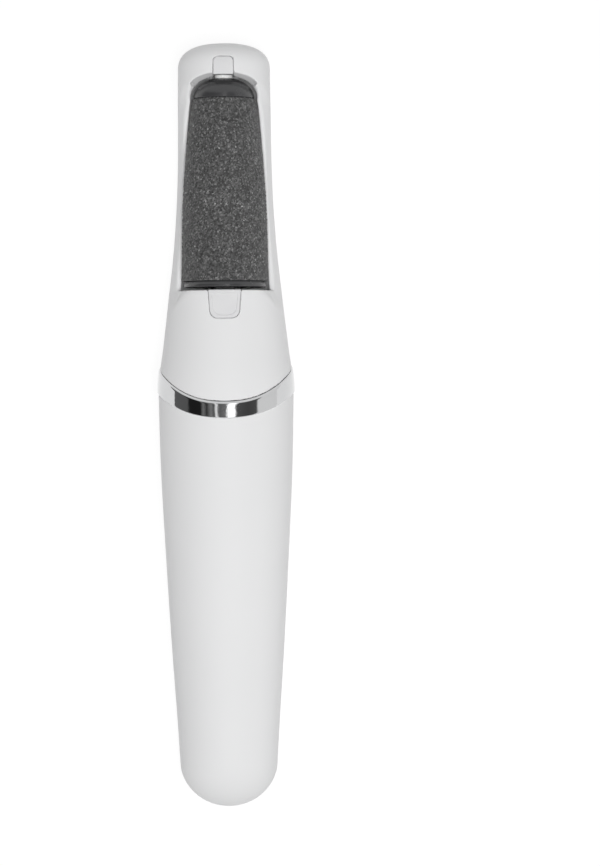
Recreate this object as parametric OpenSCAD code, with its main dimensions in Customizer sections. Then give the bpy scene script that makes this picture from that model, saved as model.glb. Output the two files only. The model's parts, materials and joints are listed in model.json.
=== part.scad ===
// Electric callus remover: a slim wand with a driven abrasive roller in its head.
// Millimetres. The device lies on its flat back: +X right, +Y towards the head end, +Z out of the front.
// Places along the device are stations, counted from the rounded bottom end of the handle.

/* [Shell] */
// Overall length of the device
body_len = 191.3; // [190.8:0.1:191.8]
// Wall thickness of the handle and head
wall = 2; // [1.8:0.1:2.1]
// Exponent of the front half of a cross-section, 2 is an ellipse
front_round = 2.2; // [2:0.1:2.5]
// Exponent of the back half of a cross-section
back_round = 2.6; // [2.4:0.1:2.8]
// Length of the rounded end of the handle
bottom_round = 11; // [10:0.5:12]
// Length of the rounded end of the head
top_round = 6.8; // [6:0.2:7.4]
// How far the polished ring stands proud of the shells
ring_proud = 0.35; // [0.2:0.05:0.5]

/* [Roller] */
// Height of the roller axis above the flat back
roller_z = 20.5; // [20.3:0.1:20.7]
// Largest radius of the abrasive sleeve
roller_r = 10.6; // [10.4:0.1:10.7]
// Thickness of the abrasive sleeve
grit_t = 0.7; // [0.6:0.1:0.9]
// Clearance between the roller and its cavity
roller_gap = 0.5; // [0.5:0.05:0.7]
// Radius of the white end pin
pin_r = 2.25; // [2:0.05:2.3]
// How far the end pin can be pushed in
pin_travel = 3; // [2:0.1:3]
// Side of the square drive shank
shank_side = 5; // [4.6:0.1:5]

/* [Drive] */
// Tooth module of the gear pair
gear_module = 0.5; // [0.5:0.01:0.51]
// Teeth on the motor pinion
pinion_teeth = 12; // [12:1:13]
// Teeth on the drive gear
gear_teeth = 30; // [28:1:30]
// Radius of the drive shaft
shaft_r = 2; // [1.8:0.1:2]
// Travel of the drive socket when the roller is released
socket_travel = 2.6; // [2.4:0.1:2.7]
// Travel of the release button
button_travel = 1.6; // [1.5:0.05:1.6]

/* [Electrics] */
// Diameter of the cell
cell_d = 14; // [13.8:0.1:14]
// Length of the cell
cell_len = 50; // [48:0.5:50]
// Travel of the slide switch
switch_travel = 5; // [4:0.5:5]
// Thickness of the circuit board
board_t = 1.2; // [1:0.1:1.2]

/* [Hidden] */
$fn = 64;

// Colours
shell_white = [0.93, 0.93, 0.94];
tab_white = [0.87, 0.87, 0.88];
chrome = [0.78, 0.79, 0.81];
steel = [0.66, 0.67, 0.69];
bronze = [0.72, 0.53, 0.33];
copper = [0.78, 0.42, 0.25];
grit_grey = [0.36, 0.36, 0.38];
dark_plastic = [0.2, 0.2, 0.21];
nylon = [0.92, 0.92, 0.9];
board_green = [0.1, 0.36, 0.2];

// Outline of the body: [station, full width, back z, front z], joined by a smooth curve.
// The back is cut flat at z = 0, so a back z below 0 gives a flat strip.
outline = [
    [-14, 22.6, -1.2, 17.8], [13, 24.6, -1.2, 21.9], [40, 28.1, -1.2, 25.6], [62, 30.6, -1.2, 28.3],
    [84, 32.8, -1.2, 30.9], [100, 33.6, -1.2, 32], [107, 33.5, -1.1, 31.8], [115, 31.4, -0.7, 30.7],
    [126, 28.8, 0.3, 29.3], [140, 25.9, 1.8, 28.4], [155, 24.1, 3.2, 27.7], [175, 23.2, 4.8, 26.9],
    [205, 22.6, 6.4, 25.6]];
end_gap = 0.1;                          // the end sections stop this far short of a point
tilt_z = 32;                            // the tilted joints start at this height
tilt_bow = 3.2;                         // and bow by this much on their way to the back,
tilt_half = 16.6;                       // one way above half height and the other way below it
flat_allowance = 0.9;                   // extra inset behind the flat back
ring_bottom = [97.5, 0.4];              // [station at tilt_z, tilt] of the lower edge of the ring
ring_top = [101.6, 0.5];                // and of its upper edge
seam = 0.05;                            // gap between the ring and each shell
tilt_start = 55;                        // the sections begin to tilt here
tilt_end = 150;                         // and are upright again here
spigot_in = wall + 0.15;                 // outside of the head's spigot, inside the shells
spigot_t = 1.1;

// Head opening
opening_s = 129.4;                      // lower edge of the roller opening
hood_s = 182.6;                         // lower edge of the hood, at the middle
arm_low = [152, 17.2];                  // lowest point of the arms' front edge [station, z]
// Scoop under the hood's lip: right half of its outline at lip_z, as [x, station - hood_s]
lip = [[6.5, -6.6], [7.4, -4.2], [8.4, -3], [8.95, -1.9], [8.5, -1.2], [7.5, -0.65], [6.1, -0.25],
    [3.8, 0.1], [0, 0.2]];
lip_z = 25;
scoop_slope = 0.36;                     // the scoop narrows by this much for each mm of depth
scoop_low_z = 16.5;
scoop_high_z = 30;

// Roller
sleeve_s0 = 131.6;
sleeve_s1 = 177.1;
taper_len = 36;                         // the sleeve tapers over this length
taper_drop = 2.9;                      // and loses this much radius
core_bore_r = 5.9;
dome_h = 4.9;
dome_full_h = 5.26;
dome_r = 7.6;
dome_gap = 0.7;
dome_s = sleeve_s1 + dome_h;
flange_s = 130.1;
flange_r = 10.3;
shank_s = 126.9;
pin_tip_s = dome_s + pin_travel;
pin_flange_r = 3.2;
pin_flange_s = 175.1;
pin_cavity_s = 164.3;
pin_fit = 0.05;
block_s = 182.8;                        // face of the pin bearing block
block_top_s = 187.3;
block_w = 5;
block_r = 4.2;

// Drive train
centre_distance = gear_module * (pinion_teeth + gear_teeth) / 2;
motor_z = roller_z - centre_distance;
plate_z = 15.6;                         // middle of the round drive plates
plate_r = 11.8;
mount_s = 100;
mount_t = 2;
gear_s = 104.7;
gear_t = 4;
pinion_s = 104.2;
pinion_t = 5;
bridge_s = 110.2;
bridge_t = 2.2;
post_x = 9.8;
post_z = 17;
post_r = 1.6;
bush_r = 3.4;
bush_fit = 0.04;
shaft_square = 3.4;
shaft_shoulder_s = 113.4;
shaft_end_s = 123.2;
socket_s0 = 121.6;
socket_s1 = 129.3;
socket_r = 4.5;
socket_collar_r = 6;
socket_collar_t = 1.6;
socket_bore_r = 6.5;
seal_s0 = 127.9;
seal_s1 = 129.3;

// Release button
button_w_top = 8.2;
button_w_low = 7.4;
button_s = 122.3;
button_corner = 2;
button_floor_z = 27.4;
button_gap = 0.15;
leg_x0 = 4.65;
leg_x1 = 5.4;
leg_s0 = 123.6;
leg_s1 = 127.4;
leg_low_z = 24.9;
ear_z0 = 26.7;                          // ears beside the button carry the legs and stop it falling out
ear_z1 = 27.8;

// Motor
motor_s = 75;
motor_len = 25;
motor_w = 20;
motor_h = 15;
motor_wall = 0.8;
cap_len = 3;
terminal_x = 8.2;                       // the two terminals stand this far either side

// Electrics
cell_s = 16;
cell_z = 13.1;
board_z = 4.2;
board_s0 = 12;
board_s1 = 64.5;
board_w = 13.6;
tongue_s = 6;
tongue_w = 9.2;
board_screw_x = 5.2;
board_screw_s = [24, 40];
port_w = 8.94;
port_h = 3.16;
port_len = 7.3;
port_s = 1.7;
port_z = board_z + board_t + port_h / 2;
switch_s = 51.4;
switch_len = 12.4;
slider_s = 53.9;
slider_len = 2.4;
knob_s = 51.6;
knob_len = 7;
knob_w = 5.4;
grip_half = 1.9;                        // half width of the grip grooves, and their spacing
grip_pitch = 1.1;
recess_deep = 1.05;
led_s = 45;
pipe_r = 1.25;
screw_low_s = 11.5;
screw_high_s = 70.7;
shell_boss_z = 8.4;                     // the bosses of the two shells meet here
boss_r = 2.2;
lead_r = 0.35;
lead_z = board_z + board_t + 0.5;

// ---------- helpers ----------

// Smooth curve through column c of the outline, evaluated at a station
function span_of(s, i = 0) = (i >= len(outline) - 2 || s < outline[i + 1][0]) ? i : span_of(s, i + 1);
function slope_at(i, c) =
    (outline[min(i + 1, len(outline) - 1)][c] - outline[max(i - 1, 0)][c])
    / (outline[min(i + 1, len(outline) - 1)][0] - outline[max(i - 1, 0)][0]);
function hermite(u, a, b, ma, mb) =
    (2 * u * u * u - 3 * u * u + 1) * a + (u * u * u - 2 * u * u + u) * ma
    + (3 * u * u - 2 * u * u * u) * b + (u * u * u - u * u) * mb;
function curve(s, c) =
    let (i = span_of(s), h = outline[i + 1][0] - outline[i][0], u = (s - outline[i][0]) / h)
    hermite(u, outline[i][c], outline[i + 1][c], slope_at(i, c) * h, slope_at(i + 1, c) * h);
function smooth(u) = let (v = min(max(u, 0), 1)) v * v * (3 - 2 * v);
function signed_power(v, p) = sign(v) * pow(abs(v), p);

// How much a section shrinks towards the two rounded ends
function end_scale(s, inset) =
    let (low = (s - inset) / (bottom_round - inset), high = (body_len - inset - s) / (top_round - inset))
    low < 1 ? sqrt(max(0, 1 - pow(1 - low, 2)))
    : high < 1 ? pow(max(0, 1 - pow(1 - high, 2.5)), 0.4)
    : 1;

// One point of the skin, at an angle around the section: 0 is right, 90 the front, 270 the back
function section_power(t) = 2 / (sin(t) >= 0 ? front_round : back_round);
function back_inset(t, inset) = (sin(t) < 0 && inset > 1) ? flat_allowance : 0;
function z_at(s, inset, t) =
    let (middle = (curve(s, 2) + curve(s, 3)) / 2, half = (curve(s, 3) - curve(s, 2)) / 2)
    middle + (half - inset - back_inset(t, inset)) * end_scale(s, inset)
        * signed_power(sin(t), section_power(t));
function x_at(s, inset, t) =
    (curve(s, 1) / 2 - inset) * end_scale(s, inset) * signed_power(cos(t), section_power(t));
function lean(z) = tilt_z - z + tilt_bow * sin(180 * (tilt_z - z) / tilt_half);
function skin_point(ring, t) =
    let (s = ring[0], tilt = ring[1], inset = ring[2],
        y_first = s + tilt * lean(z_at(s, inset, t)),
        y_next = s + tilt * lean(z_at(y_first, inset, t)),
        z = z_at(y_next, inset, t), y = s + tilt * lean(z))
    [x_at(y, inset, t), y, z];

// Closed mesh through rings of n points each, the rings facing along their path.
// cap lists the faces that close the ends, as places in a ring.
module ring_mesh(points, n, cap) {
    last = len(points) - n;
    sides = [for (j = [0:n:last - n]) for (i = [0:n - 1])
        let (a = j + i, b = j + (i + 1) % n) each [[a, b, b + n], [a, b + n, a + n]]];
    first_cap = [for (face = cap) [for (i = [len(face) - 1:-1:0]) face[i]]];
    last_cap = [for (face = cap) [for (i = face) last + i]];
    polyhedron(points, concat(sides, first_cap, last_cap), convexity = 6);
}

// Cap in one piece, for a flat ring, and cap in level strips from side to side, for a bowed one
function flat_cap(n) = [[for (i = [0:n - 1]) i]];
function strip_cap(n, right, left) =
    [for (k = [0:floor(n / 2) - 1])
        let (a = (right + k) % n, b = (right + k + 1) % n,
            c = (left - k - 1 + n) % n, d = (left - k + n) % n)
        concat([a, b], b == c ? [] : [c], a == d ? [] : [d])];

// Solid between rings of the skin, all round or from one angle to another
module skin_solid(rings, steps, t0 = 0, t1 = 360) {
    whole = t1 - t0 == 360;
    n = whole ? steps : steps + 1;
    points = [for (ring = rings) for (i = [0:n - 1]) skin_point(ring, t0 + (t1 - t0) * i / steps)];
    ring_mesh(points, n, whole ? strip_cap(n, 3 * n / 4, 3 * n / 4) : strip_cap(n, 0, n - 1));
}

// Rings of the handle from its bottom end up to a joint plane, closer together at the rounded end
function handle_tilt(s) = ring_bottom[1] * smooth((s - tilt_start) / (ring_bottom[0] - tilt_start));
function handle_rings(inset, last, count) =
    let (first = inset + end_gap)
    [for (i = [0:count]) let (s = first + (last - first) * (1 - cos(90 * i / count)))
        [s, handle_tilt(s), inset]];

// Rings of the head from a joint plane to its rounded top end
function head_tilt(s) = ring_top[1] * (1 - smooth((s - ring_top[0]) / (tilt_end - ring_top[0])));
function head_rings(first, inset, count) =
    [for (i = [0:count]) let (s = first + (body_len - end_gap - first) * sin(90 * i / count))
        [s, head_tilt(s), inset]];

// Everything is drawn at its stations and then centred along the length
module placed() {
    translate([0, -body_len / 2, 0]) children();
}

// Puts a shape that stands on the XY plane along +Y, at a station
module along(s, z, x = 0) {
    translate([x, s, z]) rotate([-90, 0, 0]) children();
}

module disc(s0, s1, r, z, x = 0) {
    along(s0, z, x) cylinder(h = s1 - s0, r = r);
}

// Box from its low corner to its high corner, in x, station and z
module block(low, high) {
    translate(low) cube(high - low);
}

// Body of revolution about the roller axis, from [radius, station] points
module turned(points) {
    along(0, roller_z) rotate_extrude() polygon(points);
}

// Side outline of [station, z] points, drawn across the full width
module side_prism(points, half_w) {
    translate([-half_w, 0, 0]) rotate([90, 0, 90]) linear_extrude(2 * half_w) polygon(points);
}

module below_floor() {
    block([-30, -5, -20], [30, 200, 0]);
}

// Round lead swept along a list of points
module lead(points, r) {
    sides = 8;
    last = len(points) - 1;
    mesh = [for (i = [0:last])
        let (way = points[min(i + 1, last)] - points[max(i - 1, 0)], along = way / norm(way),
            across = cross(along, [0.1, 0.2, 1]), first = across / norm(across),
            second = cross(first, along))
        for (k = [0:sides - 1]) let (turn = 360 * k / sides)
            points[i] + r * (cos(turn) * first + sin(turn) * second)];
    ring_mesh(mesh, sides, flat_cap(sides));
}

// Coil spring standing on the XY plane
module coil(r, wire_r, turns, height) {
    per_turn = 14;
    sides = 6;
    last = turns * per_turn;
    points = [for (k = [0:last]) for (i = [0:sides - 1])
        let (a = 360 * k / per_turn, f = 360 * i / sides, ring = r + wire_r * cos(f))
        [ring * cos(a), ring * sin(a), wire_r + (height - 2 * wire_r) * k / last + wire_r * sin(f)]];
    ring_mesh(points, sides, flat_cap(sides));
}

// Screw along +Y with a cross recess in its pan head; the thread is drawn as its core
module screw(shank, shank_r, head_r, head_h) {
    difference() {
        union() {
            translate([0, 0, -shank]) cylinder(h = shank, r = shank_r);
            cylinder(h = head_h * 0.6, r = head_r);
            translate([0, 0, head_h * 0.6]) cylinder(h = head_h * 0.4, r1 = head_r, r2 = head_r * 0.7);
        }
        for (a = [0, 90]) {
            rotate([0, 0, a]) translate([-head_r * 0.55, -0.2, head_h * 0.45]) {
                cube([head_r * 1.1, 0.4, head_h]);
            }
        }
    }
}

// Involute gear outline
backlash = 0.05;
function involute_angle(r, base) = sqrt(pow(r / base, 2) - 1) * 180 / PI - acos(base / r);
function gear_outline(teeth, addendum) =
    let (pitch = gear_module * teeth / 2, base = pitch * cos(20), tip = pitch + addendum * gear_module,
        root = pitch - 1.25 * gear_module, start = max(base, root),
        half = 90 / teeth - backlash / pitch * 180 / PI + involute_angle(pitch, base), steps = 4)
    [for (k = [0:teeth - 1]) each concat(
        [let (a = 360 * k / teeth - half) root * [cos(a), sin(a)]],
        [for (i = [0:steps]) let (r = start + (tip - start) * i / steps,
            a = 360 * k / teeth - half + involute_angle(r, base)) r * [cos(a), sin(a)]],
        [for (i = [steps:-1:0]) let (r = start + (tip - start) * i / steps,
            a = 360 * k / teeth + half - involute_angle(r, base)) r * [cos(a), sin(a)]],
        [let (a = 360 * k / teeth + half) root * [cos(a), sin(a)]])];

module gear(teeth, width, addendum) {
    linear_extrude(width) polygon(gear_outline(teeth, addendum));
}

// Radius of the abrasive sleeve at a station
function sleeve_r(s) =
    roller_r - taper_drop * pow(max(0, taper_len - (sleeve_s1 - s)) / taper_len, 2);
sleeve_steps = 12;
sleeve_stations = concat([sleeve_s0],
    [for (i = [0:sleeve_steps]) sleeve_s1 - taper_len * (1 - i / sleeve_steps)]);
// Rounded end past the sleeve, drawn out by a clearance
function dome_points(extra) =
    [for (i = [0:8]) let (h = dome_h * i / 8)
        [dome_r * sqrt(1 - pow(h / dome_full_h, 2)) + extra, sleeve_s1 + h]];

// Quadratic Bezier curve
function bezier(a, b, c, steps) =
    [for (i = [0:steps]) let (u = i / steps) (1 - u) * (1 - u) * a + 2 * u * (1 - u) * b + u * u * c];

// U-shaped outline of the release button and its slot
function button_outline(grow) =
    let (low = button_s - grow, wt = button_w_top / 2 + grow, wl = button_w_low / 2 + grow,
        corner = [for (a = [0:-15:-90]) [wl - button_corner + button_corner * cos(a),
            low + button_corner + button_corner * sin(a)]])
    concat([[wt, opening_s + grow]], corner,
        [for (i = [len(corner) - 1:-1:0]) [-corner[i][0], corner[i][1]]], [[-wt, opening_s + grow]]);

// ---------- head ----------

module roller_cavity() {
    turned(concat([[0, opening_s]],
        [for (s = concat([opening_s], sleeve_stations)) [sleeve_r(max(s, sleeve_s0)) + roller_gap, s]],
        dome_points(dome_gap), [[3.4, hood_s + 0.4], [0, hood_s + 0.4]]));
    side_prism(concat(bezier([opening_s, 20], [opening_s + 1.6, arm_low[1]], arm_low, 6),
        bezier(arm_low, [hood_s - 2.6, arm_low[1]], [hood_s + 0.1, 28], 9),
        [[hood_s + 0.1, 45], [opening_s, 45]]), 20);
}

function scoop_ring(outline, z) =
    let (grow = scoop_slope * (z - lip_z), low = lip[0][1], high = lip[len(lip) - 1][1],
        across = 1 + grow / lip[3][0], long = 1 + grow / (high - low))
    [for (p = outline) [p[0] * across, hood_s + low + (p[1] - low) * long, z]];
module scoop() {
    last = len(lip) - 1;
    outline = concat([for (i = [last:-1:0]) lip[i]], [for (i = [0:last - 1]) [-lip[i][0], lip[i][1]]]);
    ring_mesh(concat(scoop_ring(outline, scoop_low_z), scoop_ring(outline, scoop_high_z)),
        len(outline), flat_cap(len(outline)));
}

module head_shell() {
    first = ring_top[0] + seam;
    step = first + 0.9;
    outer = concat([for (s = [91, 96]) [s, ring_bottom[1], spigot_in]], [[first, ring_top[1], spigot_in]],
        head_rings(first, 0, 26));
    inside = spigot_in + spigot_t;
    inner = concat([[90, ring_bottom[1], inside], [step, head_tilt(step), inside]],
        [[step + 0.1, head_tilt(step + 0.1), wall]],
        [for (s = [107, 110, 113, 116, 119]) [s, head_tilt(s), wall]]);
    color(shell_white) placed() difference() {
        skin_solid(outer, 44);
        skin_solid(inner, 32);
        below_floor();
        roller_cavity();
        scoop();
        disc(110, 127.6, socket_bore_r, roller_z);
        disc(127, opening_s + 1, socket_r + 0.35, roller_z);
        disc(seal_s0 - 0.05, opening_s + 1, 6.4, roller_z);
        translate([0, 0, roller_z]) linear_extrude(20) polygon(button_outline(button_gap));
        block([-leg_x1 - 0.3, leg_s0 - 0.9, roller_z], [leg_x1 + 0.3, leg_s1 + 0.3, ear_z1 + 0.15]);
        disc(hood_s - 2, block_top_s + 0.1, block_r + 0.1, roller_z);
        translate([0, 0, roller_z]) linear_extrude(20) tab_outline(0.08);
    }
}

// Outline of the tab that fills the slot in the hood
module tab_outline(grow) {
    w = block_w / 2 + grow;
    corner = 1.2;
    for (side = [-1, 1]) {
        translate([side * (w - corner), block_top_s + grow - corner]) circle(corner);
    }
    translate([-w, hood_s - 3]) square([2 * w, block_top_s + grow - corner - hood_s + 3]);
    translate([-w + corner, hood_s]) square([2 * (w - corner), block_top_s + grow - hood_s]);
}

module pin_bearing_block() {
    color(tab_white) placed() difference() {
        union() {
            disc(block_s, block_top_s, block_r, roller_z);
            intersection() {
                translate([0, 0, roller_z]) linear_extrude(20) tab_outline(0);
                skin_solid([for (s = [hood_s - 4, 182, 184, 186, 187.5, 188.8]) [s, 0, 0.12]], 44);
                block([-5, block_s, 0], [5, 200, 40]);
            }
        }
        disc(block_s - 1, pin_tip_s + 0.4, pin_r + pin_fit, roller_z);
    }
}

module release_button() {
    foot = ear_z1;
    slope = socket_travel / button_travel;
    wedge = [[leg_s0, leg_low_z], [leg_s0 - slope * 1.6, leg_low_z + 1.6], [leg_s0 - slope * 1.6, foot],
        [leg_s1, foot], [leg_s1, leg_low_z + 1], [leg_s1 - 1.5, leg_low_z]];
    color(tab_white) placed() {
        intersection() {
            translate([0, 0, button_floor_z]) linear_extrude(20) polygon(button_outline(0));
            skin_solid([for (s = [119, 122, 125, 128, 131, 134]) [s, 0, 0.05]], 44);
            block([-10, 100, 0], [10, opening_s, 40]);
        }
        for (side = [-1, 1]) {
            translate([side * (leg_x1 + 3.4) / 2, 0, 0]) {
                block([(3.4 - leg_x1) / 2, leg_s0, ear_z0], [(leg_x1 - 3.4) / 2, leg_s1, foot]);
            }
        }
        for (side = [-1, 1]) {
            translate([side * (leg_x0 + leg_x1) / 2, 0, 0]) intersection() {
                side_prism(wedge, (leg_x1 - leg_x0) / 2);
                block([-5, leg_s0 - 0.6, 0], [5, 140, 40]);
            }
        }
    }
}

// ---------- ring and handle ----------

module trim_ring() {
    outer = [[ring_bottom[0], ring_bottom[1], 0], [ring_bottom[0] + 0.45, ring_bottom[1], -ring_proud],
        [ring_top[0] - 0.45, ring_top[1], -ring_proud], [ring_top[0], ring_top[1], 0]];
    inner = [[ring_bottom[0] - 1, ring_bottom[1], wall], [ring_top[0] + 1, ring_top[1], wall]];
    color(chrome) placed() difference() {
        skin_solid(outer, 44);
        skin_solid(inner, 44);
        below_floor();
    }
}

module handle_half(t0, t1) {
    last = ring_bottom[0] - seam;
    difference() {
        skin_solid(handle_rings(0, last, 24), 22, t0, t1);
        skin_solid(concat(handle_rings(wall, last - 1, 14), [[last + 4, ring_bottom[1], wall]]), 32);
        children();
    }
}

module handle_front_shell() {
    color(shell_white) placed() {
        handle_half(0, 180);
        for (s = [screw_low_s, screw_high_s]) {
            difference() {
                translate([0, s, shell_boss_z]) cylinder(h = curve(s, 3) - 1 - shell_boss_z, r = boss_r);
                translate([0, s, board_z]) cylinder(h = 14, r = 0.85);
            }
        }
    }
}

module handle_rear_shell() {
    color(shell_white) placed() difference() {
        union() {
            handle_half(180, 360) {
                below_floor();
            }
            for (s = [screw_low_s, screw_high_s]) {
                translate([0, s, 1]) cylinder(h = shell_boss_z - 1.1, r = boss_r);
            }
        }
        for (s = [screw_low_s, screw_high_s]) {
            translate([0, s, -1]) cylinder(h = 20, r = 1.1);
            translate([0, s, -1]) cylinder(h = 2.4, r = 1.9);
        }
        port_slot(0.2, port_s - 6, port_s + 4);
        translate([0, led_s, -1]) cylinder(h = 6, r = pipe_r + 0.05);
        knob_slot(knob_w + 0.5, knob_s - 0.4, knob_s + knob_len + switch_travel + 0.4, -1, recess_deep);
        knob_slot(3, slider_s - 0.9, slider_s + slider_len + switch_travel + 0.9, 0, 4);
    }
}

// Long slot in the back wall with round ends
module knob_slot(w, s0, s1, z0, z1) {
    block([-w / 2, s0 + w / 2, z0], [w / 2, s1 - w / 2, z1]);
    for (s = [s0 + w / 2, s1 - w / 2]) {
        translate([0, s, z0]) cylinder(h = z1 - z0, r = w / 2);
    }
}

// Flat-sided round outline of the charging socket, drawn along the device
module port_slot(grow, s0, s1) {
    r = port_h / 2 + grow;
    reach = (port_w - port_h) / 2;
    block([-reach, s0, port_z - r], [reach, s1, port_z + r]);
    for (side = [-1, 1]) {
        disc(s0, s1, r, port_z, side * reach);
    }
}

module shell_screws() {
    color(steel) placed() for (s = [screw_low_s, screw_high_s]) {
        translate([0, s, 1.4]) rotate([180, 0, 0]) screw(12, 0.8, 1.75, 1.1);
    }
}

// ---------- electrics ----------

module chassis() {
    rail_x = cell_d / 2 + 0.4;
    rail_out = rail_x + 1.3;
    cradle_x = motor_w / 2 + 0.25;
    wall_s = motor_s - 1.4;
    color([0.25, 0.26, 0.28]) placed() difference() {
        union() {
            for (side = [-1, 1]) {
                translate([side * (rail_x + rail_out) / 2, 0, 0]) {
                    block([-0.65, cell_s - 1.6, 9], [0.65, cell_s + cell_len + 1, 15.5]);
                    block([-0.65, cell_s + cell_len, motor_z + 2.2], [0.65, wall_s + 0.2, 15.5]);
                }
                translate([side * (cradle_x + 0.6), 0, 0]) {
                    block([-0.6, wall_s, motor_z - 3], [0.6, mount_s, motor_z + 3]);
                }
            }
            block([-rail_out, cell_s - 1.6, 7.5], [rail_out, cell_s - 0.4, 15.5]);
            block([-rail_out, cell_s + cell_len + 0.4, 7.2], [rail_out, cell_s + cell_len + 1.7, 19]);
            block([-cradle_x - 1.2, wall_s, 6.5], [cradle_x + 1.2, motor_s - 0.2, 16.5]);
        }
        disc(wall_s - 1, motor_s, 3.2, motor_z);
        for (side = [-1, 1]) {
            block([side * terminal_x - 1.1, wall_s - 1, motor_z - 1.4],
                [side * terminal_x + 1.1, motor_s, motor_z + 1.4]);
        }
    }
}

module battery_cell() {
    color([0.2, 0.42, 0.62]) placed() {
        disc(cell_s, cell_s + cell_len - 1.2, cell_d / 2, cell_z);
        disc(cell_s + cell_len - 1.2, cell_s + cell_len, 2.75, cell_z);
    }
}

module battery_tabs() {
    color(steel) placed() {
        block([-3, cell_s - 0.35, 6.7], [3, cell_s, cell_z + 4]);
        block([-3, cell_s + cell_len, lead_z + 0.4], [3, cell_s + cell_len + 0.35, cell_z + 4]);
    }
}

module battery_leads() {
    color([0.75, 0.1, 0.1]) placed() {
        lead(bezier([2, cell_s - 0.4, 7.1], [2.6, cell_s - 1.4, 7.1],
            [3.4, cell_s - 2.8, lead_z], 8), lead_r);
        lead(bezier([-2, cell_s + cell_len + 0.9, lead_z], [-2, cell_s + cell_len, lead_z],
            [-2.4, board_s1 - 1.5, lead_z], 4), lead_r);
    }
}

module circuit_board() {
    color(board_green) placed() difference() {
        union() {
            block([-board_w / 2, board_s0, board_z], [board_w / 2, board_s1, board_z + board_t]);
            block([-tongue_w / 2, tongue_s, board_z], [tongue_w / 2, board_s0 + 1, board_z + board_t]);
        }
        translate([0, screw_low_s, 0]) cylinder(h = 10, r = boss_r + 0.2);
        for (s = board_screw_s, side = [-1, 1]) {
            translate([side * board_screw_x, s, 0]) cylinder(h = 10, r = 0.85);
        }
    }
}

module board_screws() {
    color(steel) placed() for (s = board_screw_s, side = [-1, 1]) {
        translate([side * board_screw_x, s, board_z]) rotate([180, 0, 0]) screw(3.4, 0.8, 1.3, 0.9);
    }
}

module control_chips() {
    color(dark_plastic) placed() {
        block([-3, 27, board_z - 1.2], [3, 33, board_z]);
        block([-2, 18.5, board_z - 0.9], [2, 21.5, board_z]);
        for (x = [-5.2, -3.4, 3.4, 5.2]) {
            block([x - 0.5, 35.5, board_z - 0.6], [x + 0.5, 37.1, board_z]);
        }
    }
}

module switch_body() {
    color([0.16, 0.16, 0.17]) placed() difference() {
        block([-3.4, switch_s, 2.3], [3.4, switch_s + switch_len, board_z]);
        block([-1.5, slider_s - 0.4, 2], [1.5, slider_s + slider_len + switch_travel + 0.4, 3.6]);
    }
}

module switch_slider() {
    color(nylon) placed() block([-1.2, slider_s, recess_deep - 0.1], [1.2, slider_s + slider_len, 3.4]);
}

module switch_knob() {
    top = recess_deep - 0.1;
    low = 0.15;
    color(tab_white) placed() difference() {
        knob_slot(knob_w, knob_s, knob_s + knob_len, low, top);
        for (i = [-1.5:1:1.5]) {
            groove = knob_s + knob_len / 2 + i * grip_pitch;
            block([-grip_half, groove - 0.25, low - 1], [grip_half, groove + 0.25, low + 0.3]);
        }
    }
}

module charge_socket() {
    color(steel) placed() difference() {
        port_slot(0, port_s, port_s + port_len);
        port_slot(-0.3, port_s - 1, port_s + port_len - 1);
    }
    color(dark_plastic) placed() {
        block([-3.3, port_s + 0.9, port_z - 0.35], [3.3, port_s + port_len - 0.5, port_z + 0.35]);
    }
}

module charge_led() {
    color([0.9, 0.6, 0.4]) placed() {
        block([-0.9, led_s - 0.6, board_z - 0.75], [0.9, led_s + 0.6, board_z]);
    }
}

module light_pipe() {
    color([0.9, 0.95, 0.95, 0.6]) placed() {
        translate([0, led_s, 0.05]) cylinder(h = 2.3, r = pipe_r);
        translate([0, led_s, 2.3]) cylinder(h = 0.9, r = pipe_r + 0.6);
    }
}

// ---------- motor ----------

module motor_outline(half_w, half_h, s0, s1) {
    intersection() {
        disc(s0, s1, half_w, motor_z);
        block([-20, s0 - 1, motor_z - half_h], [20, s1 + 1, motor_z + half_h]);
    }
}

module motor_can() {
    front = motor_s + motor_len;
    color(steel) placed() difference() {
        motor_outline(motor_w / 2, motor_h / 2, motor_s + cap_len, front);
        motor_outline(motor_w / 2 - motor_wall, motor_h / 2 - motor_wall, motor_s, front - motor_wall);
        disc(front - 2, front + 1, 3, motor_z);
        for (side = [-1, 1]) {
            disc(front - 2, front + 1, 0.8, motor_z, side * 6.5);
        }
    }
}

module motor_end_cap() {
    color([0.86, 0.85, 0.8]) placed() difference() {
        motor_outline(motor_w / 2, motor_h / 2, motor_s, motor_s + cap_len);
        disc(motor_s - 1, motor_s + 2.2, 2.4, motor_z);
        disc(motor_s - 1, motor_s + cap_len + 1, 1.3, motor_z);
        for (side = [-1, 1]) {
            block([side * terminal_x - 0.8, motor_s - 1, motor_z - 1.1],
                [side * terminal_x + 0.8, motor_s + 4, motor_z + 1.1]);
        }
    }
}

module motor_magnets() {
    s0 = motor_s + cap_len + 2;
    s1 = motor_s + motor_len - 3;
    color([0.3, 0.3, 0.32]) placed() for (side = [-1, 1]) {
        difference() {
            motor_outline(motor_w / 2 - motor_wall - 0.05, 5.2, s0, s1);
            disc(s0 - 1, s1 + 1, 6.8, motor_z);
            block([side > 0 ? -20 : 0, s0 - 1, -5], [side > 0 ? 0 : 20, s1 + 1, 40]);
        }
    }
}

module motor_armature() {
    s0 = motor_s + cap_len + 3;
    s1 = motor_s + motor_len - 4;
    color([0.42, 0.42, 0.44]) placed() {
        along(s0, motor_z) difference() {
            cylinder(h = s1 - s0, r = 6.2);
            translate([0, 0, -1]) cylinder(h = 40, r = 1);
            for (a = [0:120:240]) {
                rotate([0, 0, a]) translate([4.6, -0.5, -1]) cube([4, 1, 40]);
                rotate([0, 0, a]) translate([3.6, 0, -1]) cylinder(h = 40, r = 1.5);
            }
        }
        difference() {
            disc(s0 - 2.6, s0 + 0.1, 2, motor_z);
            disc(s0 - 3, s0 + 1, 1, motor_z);
        }
    }
}

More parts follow.
